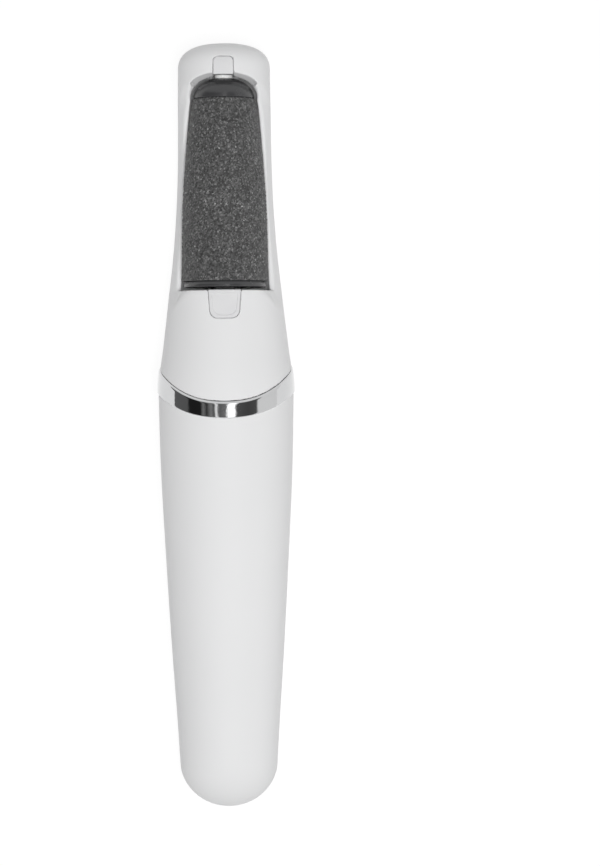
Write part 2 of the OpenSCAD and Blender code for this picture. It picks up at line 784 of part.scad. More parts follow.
module motor_windings() {
    s0 = motor_s + cap_len + 3;
    s1 = motor_s + motor_len - 4;
    color(copper) placed() for (a = [0:120:240]) {
        along(s0 - 0.9, motor_z) rotate([0, 0, a]) translate([3.6, 0, 0]) {
            cylinder(h = s1 - s0 + 1.8, r = 1.4);
        }
    }
}

module motor_shaft() {
    color(steel) placed() disc(motor_s - 1.2, pinion_s + pinion_t + 0.5, 1, motor_z);
}

module motor_bushes() {
    color(bronze) placed() difference() {
        union() {
            disc(motor_s, motor_s + 2.2, 2.35, motor_z);
            disc(motor_s + motor_len - 1.4, mount_s + mount_t - 0.3, 2.95, motor_z);
        }
        disc(motor_s - 1, mount_s + 5, 1 + bush_fit, motor_z);
    }
}

module motor_terminals() {
    color(bronze) placed() for (side = [-1, 1]) {
        difference() {
            block([side * terminal_x - 0.2, motor_s - 3.4, motor_z - 1],
                [side * terminal_x + 0.2, motor_s + 2, motor_z + 1]);
            translate([side * terminal_x - 1, motor_s - 2.2, motor_z]) rotate([0, 90, 0]) {
                cylinder(h = 2, r = 0.4);
            }
        }
    }
}

module motor_leads() {
    color([0.1, 0.1, 0.1]) placed() for (side = [-1, 1]) {
        lead(bezier([side * 8.8, motor_s - 2.3, motor_z - 0.6], [side * 8.4, motor_s - 7.5, board_z + 1],
            [side * 5, board_s1 - 1.3, lead_z], 10), lead_r);
    }
}

module motor_pinion() {
    color(bronze) placed() difference() {
        along(pinion_s, motor_z) rotate([0, 0, -90]) gear(pinion_teeth, pinion_t, 1);
        disc(pinion_s - 1, pinion_s + pinion_t + 1, 1, motor_z);
    }
}

// ---------- drive ----------

module drive_plate(s0, s1) {
    difference() {
        disc(s0, s1, plate_r, plate_z);
        disc(s0 - 1, s1 + 1, bush_r, roller_z);
    }
}

module motor_mount_plate() {
    color([0.3, 0.31, 0.33]) placed() {
        difference() {
            drive_plate(mount_s, mount_s + mount_t);
            disc(mount_s - 1, mount_s + 5, 3, motor_z);
            for (side = [-1, 1]) {
                disc(mount_s - 1, mount_s + 5, 1, motor_z, side * 6.5);
            }
        }
        for (side = [-1, 1]) {
            difference() {
                disc(mount_s + mount_t - 0.5, bridge_s, post_r, post_z, side * post_x);
                disc(bridge_s - 6, bridge_s + 1, 0.8, post_z, side * post_x);
            }
        }
    }
}

module motor_screws() {
    color(steel) placed() for (side = [-1, 1]) {
        along(mount_s + mount_t, motor_z, side * 6.5) screw(3.6, 0.8, 1.5, 1.1);
    }
}

module bearing_bridge() {
    color([0.3, 0.31, 0.33]) placed() difference() {
        drive_plate(bridge_s, bridge_s + bridge_t);
        for (side = [-1, 1]) {
            disc(bridge_s - 1, bridge_s + 5, 0.9, post_z, side * post_x);
        }
        disc(bridge_s - 1, bridge_s + 5, 5, 9.2);
    }
}

module bridge_screws() {
    color(steel) placed() for (side = [-1, 1]) {
        along(bridge_s + bridge_t, post_z, side * post_x) screw(6, 0.78, 1.5, 1.1);
    }
}

module drive_bushes() {
    color(bronze) placed() for (s = [[mount_s, mount_s + mount_t], [bridge_s, bridge_s + bridge_t]]) {
        difference() {
            disc(s[0], s[1], bush_r, roller_z);
            disc(s[0] - 1, s[1] + 1, shaft_r + bush_fit, roller_z);
        }
    }
}

module drive_shaft() {
    half = shaft_square / 2;
    color(steel) placed() {
        disc(mount_s + 0.3, shaft_shoulder_s, shaft_r, roller_z);
        intersection() {
            disc(shaft_shoulder_s - 0.2, shaft_end_s, shaft_r, roller_z);
            block([-half, shaft_shoulder_s - 0.2, roller_z - half], [half, shaft_end_s, roller_z + half]);
        }
    }
}

module drive_gear() {
    color(nylon) placed() difference() {
        union() {
            along(gear_s, roller_z) rotate([0, 0, 90 + 180 / gear_teeth]) gear(gear_teeth, gear_t, 0.85);
            disc(mount_s + mount_t + 0.3, bridge_s - 0.3, 3.2, roller_z);
        }
        disc(mount_s, bridge_s + 2, shaft_r, roller_z);
        for (a = [0:60:300]) {
            along(gear_s - 1, roller_z) rotate([0, 0, a]) translate([4.9, 0, 0]) cylinder(h = 8, r = 0.9);
        }
    }
}

module thrust_washer() {
    s = bridge_s + bridge_t + 0.3;
    color(steel) placed() difference() {
        disc(s, s + 0.6, 5.4, roller_z);
        disc(s - 1, s + 2, shaft_r, roller_z);
    }
}

module drive_socket() {
    low = (shaft_square + 0.12) / 2;
    high = (shank_side + 0.2) / 2;
    color(dark_plastic) placed() difference() {
        union() {
            disc(socket_s0, socket_s1, socket_r, roller_z);
            disc(socket_s0, socket_s0 + socket_collar_t, socket_collar_r, roller_z);
        }
        intersection() {
            disc(socket_s0 - 1, socket_s1, shaft_r + 0.05, roller_z);
            block([-low, socket_s0 - 1, roller_z - low], [low, socket_s1, roller_z + low]);
        }
        block([-high, shank_s - 0.3, roller_z - high], [high, socket_s1 + 1, roller_z + high]);
    }
}

module socket_spring() {
    s = bridge_s + bridge_t + 0.9;
    color(steel) placed() along(s, roller_z) coil(4.6, 0.35, 4, socket_s0 - s);
}

module shaft_seal() {
    color([0.12, 0.12, 0.12]) placed() difference() {
        disc(seal_s0, seal_s1, 6.35, roller_z);
        disc(seal_s0 - 1, seal_s1 + 1, socket_r + 0.2, roller_z);
        block([-10, seal_s0 - 1, button_floor_z - button_travel - 0.2], [10, seal_s1 + 1, 40]);
    }
}

// ---------- roller ----------

module roller_core() {
    color(dark_plastic) placed() turned(concat([[core_bore_r, sleeve_s0]],
        [for (s = sleeve_stations) [sleeve_r(s) - grit_t, s]], [[core_bore_r, sleeve_s1]]));
}

module abrasive_sleeve() {
    color(grit_grey) placed() turned(concat([for (s = sleeve_stations) [sleeve_r(s) - grit_t, s]],
        [[sleeve_r(sleeve_s1) - 0.4, sleeve_s1], [sleeve_r(sleeve_s1) - 0.1, sleeve_s1 - 0.3]],
        [for (i = [len(sleeve_stations) - 2:-1:0]) [sleeve_r(sleeve_stations[i]), sleeve_stations[i]]]));
}

module roller_dome_cap() {
    inner = pin_flange_r + 0.3;
    barrel = inner + 1.1;
    lid = pin_flange_s + 1.3;
    color(dark_plastic) placed() difference() {
        turned(concat([[0, pin_cavity_s - 1.4], [barrel, pin_cavity_s - 1.4], [barrel, sleeve_s1 - 5],
            [core_bore_r, sleeve_s1 - 5], [core_bore_r, sleeve_s1]], dome_points(0), [[0, dome_s]]));
        disc(pin_cavity_s - 2, lid, inner, roller_z);
        disc(lid - 1, dome_s + 1, pin_r + pin_fit, roller_z);
    }
}

module spring_seat() {
    color(dark_plastic) placed() disc(pin_cavity_s - 1.4, pin_cavity_s, pin_flange_r + 0.3, roller_z);
}

module roller_pin() {
    tip = 1.1;
    color(nylon) placed() turned(concat([[0, pin_flange_s], [pin_flange_r, pin_flange_s],
        [pin_flange_r, pin_flange_s + 1.2], [pin_r, pin_flange_s + 1.2]],
        [for (a = [0:18:90]) [pin_r - tip + tip * cos(a), pin_tip_s - tip + tip * sin(a)]],
        [[0, pin_tip_s]]));
}

module pin_spring() {
    color(steel) placed() along(pin_cavity_s, roller_z) coil(2.6, 0.3, 5, pin_flange_s - pin_cavity_s);
}

module roller_base_cap() {
    edge = 0.7;
    half = shank_side / 2;
    color(dark_plastic) placed() {
        turned(concat([[0, flange_s]],
            [for (a = [-90:18:0]) [flange_r - edge + edge * cos(a), flange_s + edge + edge * sin(a)]],
            [[flange_r, sleeve_s0 - 0.3], [flange_r - 0.6, sleeve_s0 - 0.3], [flange_r - 0.6, sleeve_s0],
            [core_bore_r, sleeve_s0], [core_bore_r, sleeve_s0 + 5], [0, sleeve_s0 + 5]]));
        block([-half, shank_s, roller_z - half], [half, flange_s + 0.5, roller_z + half]);
    }
}

head_shell();
pin_bearing_block();
release_button();
trim_ring();
handle_front_shell();
handle_rear_shell();
shell_screws();
chassis();
battery_cell();
battery_tabs();
battery_leads();
circuit_board();
board_screws();
control_chips();
switch_body();
switch_slider();
switch_knob();
charge_socket();
charge_led();
light_pipe();
motor_can();
motor_end_cap();
motor_magnets();
motor_armature();
motor_windings();
motor_shaft();
motor_bushes();
motor_terminals();
motor_leads();
motor_mount_plate();
motor_screws();
bearing_bridge();
bridge_screws();
drive_bushes();
drive_shaft();
drive_gear();
motor_pinion();
thrust_washer();
drive_socket();
socket_spring();
shaft_seal();
roller_core();
roller_dome_cap();
roller_base_cap();
abrasive_sleeve();
roller_pin();
pin_spring();
spring_seat();
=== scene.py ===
import json
import math

import bmesh
import bpy
import numpy as np
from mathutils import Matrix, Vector, noise


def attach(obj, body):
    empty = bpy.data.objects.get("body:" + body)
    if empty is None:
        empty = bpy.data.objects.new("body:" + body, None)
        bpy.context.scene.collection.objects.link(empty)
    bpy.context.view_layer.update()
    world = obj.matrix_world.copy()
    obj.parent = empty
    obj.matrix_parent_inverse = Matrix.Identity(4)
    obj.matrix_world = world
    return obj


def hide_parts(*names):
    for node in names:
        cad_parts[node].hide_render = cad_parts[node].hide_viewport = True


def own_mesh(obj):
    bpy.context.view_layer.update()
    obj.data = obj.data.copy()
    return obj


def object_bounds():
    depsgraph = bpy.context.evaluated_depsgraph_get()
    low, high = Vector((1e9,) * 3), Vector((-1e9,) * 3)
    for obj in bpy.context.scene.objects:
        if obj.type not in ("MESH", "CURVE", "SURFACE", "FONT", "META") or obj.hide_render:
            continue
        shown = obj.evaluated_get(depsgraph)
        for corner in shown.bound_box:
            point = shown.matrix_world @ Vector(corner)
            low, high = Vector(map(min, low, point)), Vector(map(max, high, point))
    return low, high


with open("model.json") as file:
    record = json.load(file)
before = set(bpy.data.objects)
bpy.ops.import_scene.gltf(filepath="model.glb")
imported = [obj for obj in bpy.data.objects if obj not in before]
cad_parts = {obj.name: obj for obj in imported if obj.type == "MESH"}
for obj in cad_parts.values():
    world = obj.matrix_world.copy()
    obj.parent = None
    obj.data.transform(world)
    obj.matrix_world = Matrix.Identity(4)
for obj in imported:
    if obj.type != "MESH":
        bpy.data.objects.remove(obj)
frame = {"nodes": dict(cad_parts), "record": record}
cad_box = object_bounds()

# ---------------------------------------------------------------- driving dimensions
# Shapes are worked out in millimetres: x across, s the station from the handle's bottom end, z out of
# the front. Only the last step turns them into metres in the row's frame.
MM = 0.001
END_GAP = 0.1                           # the skin stops this far inside each end of the nominal length
HALF_LENGTH = (cad_box[1][1] - cad_box[0][1]) / MM / 2 + END_GAP
BODY_LENGTH = 2 * HALF_LENGTH

# Outline of the body: station, full width, back z, front z
OUTLINE = np.array([
    (-14, 22.6, -1.2, 17.8), (13, 24.6, -1.2, 21.9), (40, 28.1, -1.2, 25.6), (62, 30.6, -1.2, 28.3),
    (84, 32.8, -1.2, 30.9), (100, 33.6, -1.2, 32), (107, 33.5, -1.1, 31.8), (115, 31.4, -0.7, 30.7),
    (126, 28.8, 0.3, 29.3), (140, 25.9, 1.8, 28.4), (155, 24.1, 3.2, 27.7), (175, 23.2, 4.8, 26.9),
    (205, 22.6, 6.4, 25.6)])
FRONT_POWER, BACK_POWER = 2.2, 2.6      # superellipse exponents of a section's two halves
BOTTOM_ROUND, TOP_ROUND = 11.0, 6.8     # lengths of the rounded ends
TOP_POWER = 2.5                         # superellipse exponent of the head's rounded end
WALL = 2.0
FLAT_ALLOWANCE = 0.9                    # extra wall at the back, which is cut flat
TILT_Z = 32.0                           # the tilted joints start at this height
TILT_BOW, TILT_HALF = 3.2, 16.6         # and bow once each way on their way to the back
RING_BOTTOM, RING_TOP = (97.5, 0.4), (101.6, 0.5)       # each edge's station at TILT_Z, and its tilt
RING_PROUD = 0.35
SEAM = 0.05
SPIGOT_IN, SPIGOT_T = WALL + 0.15, 1.1  # the head's tongue inside the handle: how far in, and its wall
HEAD_HOLLOW_S = 119.0

ROLLER_Z = 20.5
ROLLER_GAP, DOME_GAP = 0.5, 0.7
OPENING_S, HOOD_S = 129.4, 182.6
ARM_LOW = (152.0, 17.2)
SLEEVE_S0, SLEEVE_S1, SLEEVE_R, GRIT_T = 131.6, 177.1, 10.6, 0.7
TAPER_LENGTH, TAPER_DROP = 36.0, 2.9
DOME_H, DOME_FULL_H, DOME_R = 4.9, 5.26, 7.6
FLANGE_S, FLANGE_R = 130.1, 10.3
CORE_BORE_R = 5.9
SHANK_HALF, SHANK_S = 2.5, 126.9
SOCKET_SPACE_R, SOCKET_BORE_R, SOCKET_BORE_S = 6.5, 4.85, 127.6
SEAL_SEAT_R, SEAL_SEAT_S = 6.4, 127.85
PIN_R, PIN_FLANGE_S, PIN_TIP_S = 2.25, 175.1, 185.0
PIN_FLANGE_R, PIN_FLANGE_T, PIN_ROUND = 3.2, 1.2, 1.1
RUNNING_GAP = 0.05
BLOCK_S, BLOCK_TOP_S, BLOCK_W, BLOCK_R = 182.8, 187.3, 5.0, 4.2
BUTTON_S, BUTTON_TOP, BUTTON_LOW, BUTTON_CORNER = 122.3, 8.2, 7.4, 2.0
BUTTON_FLOOR = 27.4
EAR_IN, EAR_OUT = 3.4, 5.4
EAR_S, EAR_Z = (123.6, 127.4), (26.7, 27.8)
POCKET_HALF, POCKET_S, POCKET_TOP_Z = 5.5, (122.7, 127.7), 27.83
VISIBLE_GAP = 0.04                      # moulded gaps as they look under soft light


# ---------------------------------------------------------------- outline of the body
def hermite(stations, values, s):
    """Smooth curve through the design stations, with slopes taken across each one's neighbours."""
    slope = np.empty(len(values))
    slope[1:-1] = (values[2:] - values[:-2]) / (stations[2:] - stations[:-2])
    slope[0] = (values[1] - values[0]) / (stations[1] - stations[0])
    slope[-1] = (values[-1] - values[-2]) / (stations[-1] - stations[-2])
    i = np.clip(np.searchsorted(stations, s, side="right") - 1, 0, len(stations) - 2)
    h = stations[i + 1] - stations[i]
    u = (s - stations[i]) / h
    return ((2 * u**3 - 3 * u**2 + 1) * values[i] + (u**3 - 2 * u**2 + u) * slope[i] * h
            + (3 * u**2 - 2 * u**3) * values[i + 1] + (u**3 - u**2) * slope[i + 1] * h)


FINE_S = np.arange(-12, 204, 0.05)
WIDTH, BACK, FRONT = (hermite(OUTLINE[:, 0], OUTLINE[:, c], FINE_S) for c in (1, 2, 3))


def along(curve, s):
    """WIDTH, BACK or FRONT at station s."""
    return np.interp(s, FINE_S, curve)


def skin(x, s, z, inset=0.0):
    """Distance from the body's skin, or from a surface inset behind it. Negative inside."""
    back_inset = inset + (FLAT_ALLOWANCE if inset > 1 else 0)
    middle = (along(FRONT, s) + along(BACK, s)) / 2
    half = (along(FRONT, s) - along(BACK, s)) / 2
    a = along(WIDTH, s) / 2 - inset
    is_front = z >= middle
    b = np.where(is_front, half - inset, half - back_inset)
    n = np.where(is_front, FRONT_POWER, BACK_POWER)
    across = np.abs(x) / a
    deep = np.abs(z - middle) / b
    radius = np.maximum((across**n + deep**n) ** (1 / n), 1e-6)
    steep = radius ** (1 - n) * np.sqrt((across ** (n - 1) / a) ** 2 + (deep ** (n - 1) / b) ** 2)
    low_end, high_end = BOTTOM_ROUND - 1.2 * END_GAP - inset, TOP_ROUND - 1.2 * END_GAP - inset
    at_top = s > 0.5 * BODY_LENGTH
    v = np.where(at_top, (s - (BODY_LENGTH - TOP_ROUND)) / high_end, (BOTTOM_ROUND - s) / low_end)
    v = np.maximum(v, 0)
    p = np.where(at_top, TOP_POWER, 2.0)
    end_length = np.where(at_top, high_end, low_end)
    q = (radius**p + v**p) ** (1 / p)
    slope = q ** (1 - p) * np.sqrt((radius ** (p - 1) * steep) ** 2 + (v ** (p - 1) / end_length) ** 2)
    return (q - 1) / np.maximum(slope, 1e-6)


def lean(z):
    """How far along the device a joint of tilt 1 has moved at height z, from its start at TILT_Z."""
    return TILT_Z - z + TILT_BOW * np.sin(np.pi * (TILT_Z - z) / TILT_HALF)


def above(joint, s, z, shift=0.0):
    """Distance above a tilted and bowed joint, given as its station at TILT_Z and its tilt."""
    station, tilt = joint
    steepness = tilt * (1 + TILT_BOW * np.pi / TILT_HALF * np.cos(np.pi * (TILT_Z - z) / TILT_HALF))
    return (s - station - shift - tilt * lean(z)) / np.hypot(1, steepness)


def cut(a, b, r):
    """What two solids share, with the new edge rounded to radius r."""
    u, v = np.maximum(a + r, 0), np.maximum(b + r, 0)
    return np.minimum(-r, np.maximum(a, b)) + np.hypot(u, v)


def slab(value, low, high):
    """Distance from the space between two parallel planes."""
    return np.maximum(low - value, value - high)


def from_roller_axis(x, z):
    return np.hypot(x, z - ROLLER_Z)


def outline_distance(points, u, v):
    """Distance from a closed 2-D outline, negative inside."""
    u, v = np.broadcast_arrays(u, v)
    best = np.full(u.shape, 1e9)
    inside = np.zeros(u.shape, bool)
    for (u0, v0), (u1, v1) in zip(points, points[1:] + points[:1]):
        du, dv = u1 - u0, v1 - v0
        t = np.clip(((u - u0) * du + (v - v0) * dv) / (du * du + dv * dv + 1e-12), 0, 1)
        best = np.minimum(best, np.hypot(u - u0 - t * du, v - v0 - t * dv))
        if v0 != v1:
            inside ^= ((v0 > v) != (v1 > v)) & (u < du * (v - v0) / dv + u0)
    return np.where(inside, -best, best)


def bezier(a, b, c, steps):
    """Points on a curve from a to c that heads for b."""
    a, b, c = (np.array(p, float) for p in (a, b, c))
    return [tuple((1 - u) ** 2 * a + 2 * u * (1 - u) * b + u * u * c) for u in np.linspace(0, 1, steps)]


def arc(centre, r, start, end, steps):
    angles = np.radians(np.linspace(start, end, steps))
    return [(centre[0] + r * math.cos(t), centre[1] + r * math.sin(t)) for t in angles]


def surface_net(field, axes):
    """Vertices and quads where a sampled field changes sign."""
    inside = field < 0
    shape = np.array(field.shape)
    count = np.zeros(shape - 1, np.int8)
    for corner in np.ndindex(2, 2, 2):
        count += inside[tuple(slice(c, n - 1 + c) for c, n in zip(corner, shape))]
    active = (count > 0) & (count < 8)
    number = np.full(active.shape, -1, np.int64)
    number[active] = np.arange(active.sum())
    cells = np.argwhere(active)
    total, hits = np.zeros((len(cells), 3)), np.zeros(len(cells))
    for axis in range(3):
        step = np.eye(3, dtype=int)[axis]
        others = [k for k in range(3) if k != axis]
        for e in np.ndindex(2, 2):
            first = cells.copy()
            first[:, others[0]] += e[0]
            first[:, others[1]] += e[1]
            second = first + step
            f0, f1 = field[tuple(first.T)], field[tuple(second.T)]
            cross = (f0 < 0) != (f1 < 0)
            t = np.where(cross, f0 / np.where(cross, f0 - f1, 1), 0)
            p0 = np.stack([axes[k][first[:, k]] for k in range(3)], -1)
            p1 = np.stack([axes[k][second[:, k]] for k in range(3)], -1)
            total[cross] += (p0 + t[:, None] * (p1 - p0))[cross]
            hits[cross] += 1
    quads = []
    for axis in range(3):
        i, j = [k for k in range(3) if k != axis]
        low = tuple(slice(0, -1) if k == axis else slice(1, -1) for k in range(3))
        high = tuple(slice(1, None) if k == axis else slice(1, -1) for k in range(3))
        changes = inside[low] != inside[high]
        at = np.argwhere(changes)
        at[:, i] += 1
        at[:, j] += 1
        entering = inside[tuple(at.T)]
        around = []
        for di, dj in ((-1, -1), (0, -1), (0, 0), (-1, 0)):
            c = at.copy()
            c[:, i] += di
            c[:, j] += dj
            around.append(number[tuple(c.T)])
        quad = np.stack(around, -1)
        flip = entering if axis == 1 else ~entering
        quad[flip] = quad[flip][:, ::-1]
        quads.append(quad)
    return total / hits[:, None], np.concatenate(quads)


def gradient(solid, p, eps=0.03):
    """Slope of a distance field at the points p."""
    parts = [solid(*(p + eps * e).T) - solid(*(p - eps * e).T) for e in np.eye(3)]
    return np.stack(parts, -1) / (2 * eps)


def spaced(spans):
    """Grid positions from (start, end, spacing) stretches that follow each other."""
    parts = [np.arange(start, end - 1e-6, spacing) for start, end, spacing in spans]
    return np.concatenate(parts + [[spans[-1][1]]])


def to_frame(points):
    """Millimetres and stations to metres in the row's frame."""
    return np.stack([points[:, 0], points[:, 1] - HALF_LENGTH, points[:, 2]], -1) * MM


def make_object(name, vertices, faces, normals=None):
    mesh = bpy.data.meshes.new(name)
    mesh.from_pydata(to_frame(np.asarray(vertices)).tolist(), [], [list(map(int, f)) for f in faces])
    mesh.polygons.foreach_set("use_smooth", [True] * len(mesh.polygons))
    if normals is not None:
        mesh.normals_split_custom_set_from_vertices(normals.tolist())
    mesh.update()
    piece = bpy.data.objects.new(name, mesh)
    bpy.context.scene.collection.objects.link(piece)
    return piece


def solid_piece(name, solid, x_span, s_spans, z_span, detail, tilt=None):
    """Turns a distance field into a smooth mesh whose vertices and normals lie on the true surface.
    tilt gives the lean of the sampling layers at each station, so that they run along the joints."""
    axes = [spaced([(*x_span, detail)]), spaced(s_spans), spaced([(*z_span, detail)])]

    def station(t, z):
        return t if tilt is None else t + np.interp(t, *zip(*tilt)) * lean(z)

    layers = station(axes[1][None, :, None], axes[2][None, None, :])
    grid = solid(axes[0][:, None, None], layers, axes[2][None, None, :])
    vertices, quads = surface_net(np.ascontiguousarray(grid), axes)
    vertices[:, 1] = station(vertices[:, 1], vertices[:, 2])
    reach = detail * 0.6
    for _ in range(3):
        g = gradient(solid, vertices)
        length = np.maximum(np.linalg.norm(g, axis=1), 0.3)
        move = np.clip(solid(*vertices.T) / length, -reach, reach)
        vertices = vertices - 0.8 * move[:, None] * g / length[:, None]
    g = gradient(solid, vertices, 0.06)
    normals = g / np.maximum(np.linalg.norm(g, axis=1), 1e-6)[:, None]
    return make_object(name, vertices, quads, normals)


# ---------------------------------------------------------------- the moulded solids
def roller_cavity(x, s, z):
    """Room for the turning roller: the sleeve and the dome above it, each with a gap round it."""
    across = from_roller_axis(x, z)
    wall = sleeve_radius(np.clip(s, SLEEVE_S0, SLEEVE_S1)) + ROLLER_GAP
    body = np.maximum(across - wall, slab(s, OPENING_S, SLEEVE_S1))
    r, h = DOME_R + DOME_GAP, DOME_FULL_H + DOME_GAP
    q = np.hypot(across / r, (s - SLEEVE_S1) / h)
    steep = np.hypot(across / r**2, (s - SLEEVE_S1) / h**2) / np.maximum(q, 1e-6)
    dome = np.maximum((q - 1) / np.maximum(steep, 0.02), slab(s, SLEEVE_S1 - 0.5, HOOD_S + 0.4))
    return np.minimum(body, dome)


def sleeve_radius(s):
    """Straight below, then drawn in more and more towards the upper end."""
    taper = np.maximum(0, TAPER_LENGTH - (SLEEVE_S1 - s)) / TAPER_LENGTH
    return SLEEVE_R - TAPER_DROP * taper**2


# What the side arms leave open beside the roller, as station and height
SIDE_CUT = (bezier((OPENING_S, 20), (OPENING_S + 1.6, ARM_LOW[1]), ARM_LOW, 12)
            + bezier(ARM_LOW, (HOOD_S - 2.6, ARM_LOW[1]), (HOOD_S + 0.1, 28), 24)[1:]
            + [(HOOD_S + 0.1, 60), (OPENING_S, 60)])


# Scoop under the hood's lip: right half of its outline at LIP_Z, as x and station above HOOD_S
LIP = [(0, -6.6), (6.5, -6.6), (7.4, -4.2), (8.4, -3), (8.95, -1.9), (8.5, -1.2), (7.5, -0.65), (6.1, -0.25),
       (3.8, 0.1), (0, 0.2)]
LIP_Z, SCOOP_SLOPE, SCOOP_LOW_Z = 25.0, 0.36, 16.5


def scoop(x, s, z):
    """The scoop's walls lean outwards, so that it narrows with depth."""
    wall = outline_distance(LIP, np.abs(x), s - HOOD_S) + SCOOP_SLOPE * (LIP_Z - z)
    return np.maximum(wall / math.hypot(1, SCOOP_SLOPE), SCOOP_LOW_Z - z)


def button_outline(grow):
    """The U-shaped button, narrower at its round lower end."""
    low, top = BUTTON_S - grow, OPENING_S + 3
    half_top, half_low = BUTTON_TOP / 2 + grow, BUTTON_LOW / 2 + grow
    corner = arc((half_low - BUTTON_CORNER, low + BUTTON_CORNER), BUTTON_CORNER, 0, -90, 9)
    return [(half_top, top), (half_top, OPENING_S)] + corner + [(-u, v) for u, v in corner[::-1]] + [
        (-half_top, OPENING_S), (-half_top, top)]


def tab_outline(grow):
    """The bearing block's tab in the hood, with a round upper end."""
    half, top, r = BLOCK_W / 2 + grow, BLOCK_TOP_S + grow, 1.2
    corner = arc((half - r, top - r), r, 0, 90, 7)
    return [(half, HOOD_S - 4)] + corner + [(-u, v) for u, v in corner[::-1]] + [(-half, HOOD_S - 4)]


def head_solid(x, s, z):
    """The head's shell, with its tongue, its hollow, the roller's opening and the seats of both tabs."""
    shell = cut(skin(x, s, z), -above(RING_TOP, s, z, SEAM), 0.2)
    side = -outline_distance(SIDE_CUT, s, z)
    # The arms' outer edge is bevelled by 18 degrees, widest low down and narrowing towards the hood
    width = 0.1 + 1.2 * np.clip((26.5 - z) / 4, 0, 1) * np.clip((181 - s) / 5, 0, 1)
    bevel = 0.951 * (skin(x, s, z) + width) + 0.309 * side
    shell = cut(cut(shell, side, 0.2), bevel, 0.3)
    # The cavity's edge is rounder under the hood
    under_hood = np.clip((s - 176.5) / 3.5, 0, 1) * np.clip((HOOD_S + 1 - s) / 1.5, 0, 1)
    shell = cut(shell, -roller_cavity(x, s, z), 0.35 + 1.25 * under_hood)
    shell = cut(shell, -scoop(x, s, z), 0.3)
    spigot = np.maximum(skin(x, s, z, SPIGOT_IN), slab(above(RING_BOTTOM, s, z), -6.5, 9))
    spigot = np.maximum(spigot, above(RING_TOP, s, z, 1.5))
    body = np.minimum(shell, spigot)
    wide = np.maximum(skin(x, s, z, WALL), -above(RING_TOP, s, z, 0.95))
    narrow = np.maximum(skin(x, s, z, SPIGOT_IN + SPIGOT_T), above(RING_TOP, s, z, 1.2))
    hollow = np.maximum(np.minimum(wide, narrow), s - HEAD_HOLLOW_S)
    from_axis = from_roller_axis(x, z)
    space = np.maximum(from_axis - SOCKET_SPACE_R, slab(s, 110, SOCKET_BORE_S))
    bore = np.maximum(from_axis - SOCKET_BORE_R, slab(s, 127, OPENING_S + 1))
    seal_seat = np.maximum(from_axis - SEAL_SEAT_R, slab(s, SEAL_SEAT_S, OPENING_S + 1))
    body = np.maximum(body, -np.minimum(np.minimum(hollow, space), np.minimum(bore, seal_seat)))
    slot = np.maximum(outline_distance(button_outline(VISIBLE_GAP), x, s), ROLLER_Z - z)
    body = cut(body, -slot, 0.22)
    pocket = np.maximum(np.abs(x) - POCKET_HALF, slab(s, *POCKET_S))
    body = np.maximum(body, -np.maximum(pocket, slab(z, ROLLER_Z, POCKET_TOP_Z)))
    seat = np.maximum(from_axis - BLOCK_R - 0.1, slab(s, HOOD_S - 2, BLOCK_TOP_S + 0.1))
    tab_slot = np.maximum(outline_distance(tab_outline(VISIBLE_GAP), x, s), ROLLER_Z - z)
    body = cut(np.maximum(body, -seat), -tab_slot, 0.18)
    return np.maximum(body, -z)


def block_solid(x, s, z):
    """Bearing block of the roller's end pin, with the tab that shows in the hood."""
    from_axis = from_roller_axis(x, z)
    collar = cut(from_axis - BLOCK_R, slab(s, BLOCK_S, BLOCK_TOP_S), 0.15)
    tab = cut(outline_distance(tab_outline(0), x, s), skin(x, s, z, 0.08), 0.2)
    tab = cut(np.maximum(tab, ROLLER_Z - z), BLOCK_S - s, 0.2)
    bore = np.maximum(from_axis - PIN_R - RUNNING_GAP, s - PIN_TIP_S - 0.4)
    return cut(np.minimum(collar, tab), -bore, 0.15)


def button_solid(x, s, z):
    """Roller release: a plate flush with the head, ears that hold it in, and two wedge legs."""
    plate = cut(outline_distance(button_outline(0), x, s), skin(x, s, z, 0.03), 0.2)
    plate = cut(np.maximum(plate, BUTTON_FLOOR - z), s - OPENING_S + 0.02, 0.3)
    dish = np.maximum(outline_distance(button_outline(-0.75), x, s), -skin(x, s, z, 0.16))
    plate = cut(plate, -np.maximum(dish, s - OPENING_S + 0.9), 0.12)
    ears = np.maximum(np.maximum(slab(np.abs(x), EAR_IN, EAR_OUT), slab(s, *EAR_S)), slab(z, *EAR_Z))
    end, top = EAR_S[1], EAR_Z[1]
    wedge = [(123.6, 24.9), (123, 25.3), (123, top), (end, top), (end, 25.9), (125.9, 24.9)]
    legs = np.maximum(slab(np.abs(x), 4.65, EAR_OUT), outline_distance(wedge, s, z))
    return np.minimum(plate, np.minimum(ears, legs))


def ring_solid(x, s, z):
    """The polished band, which stands proud of the skin."""
    band = cut(skin(x, s, z, -RING_PROUD), above(RING_TOP, s, z), 0.4)
    band = cut(band, -above(RING_BOTTOM, s, z), 0.4)
    return np.maximum(np.maximum(band, -skin(x, s, z, WALL)), -z)


def handle_shell(x, s, z):
    """Both halves of the handle in one."""
    shell = cut(skin(x, s, z), above(RING_BOTTOM, s, z, -SEAM), 0.2)
    return np.maximum(shell, -skin(x, s, z, WALL))


SCREW_STATIONS = (11.5, 70.7)
BOSS_R, BOSS_MEET_Z = 2.2, 8.4
THREAD_R, SCREW_CLEAR_R, SCREW_HEAD_R, SCREW_SEAT_Z = 0.85, 1.1, 1.9, 1.4
SPLIT_GAP = 0.03


def from_screws(x, s):
    """Distance from the nearer screw's axis."""
    return np.minimum(*(np.hypot(x, s - at) for at in SCREW_STATIONS))


def bosses(x, s, z, low, high, hole_r):
    """Posts round the screws, with a hole through each."""
    post = from_screws(x, s)
    return np.maximum(np.maximum(post - BOSS_R, slab(z, low, high)), hole_r - post)


def split_z(s):
    """Height of the line where the handle's two halves meet."""
    return (along(FRONT, s) + along(BACK, s)) / 2


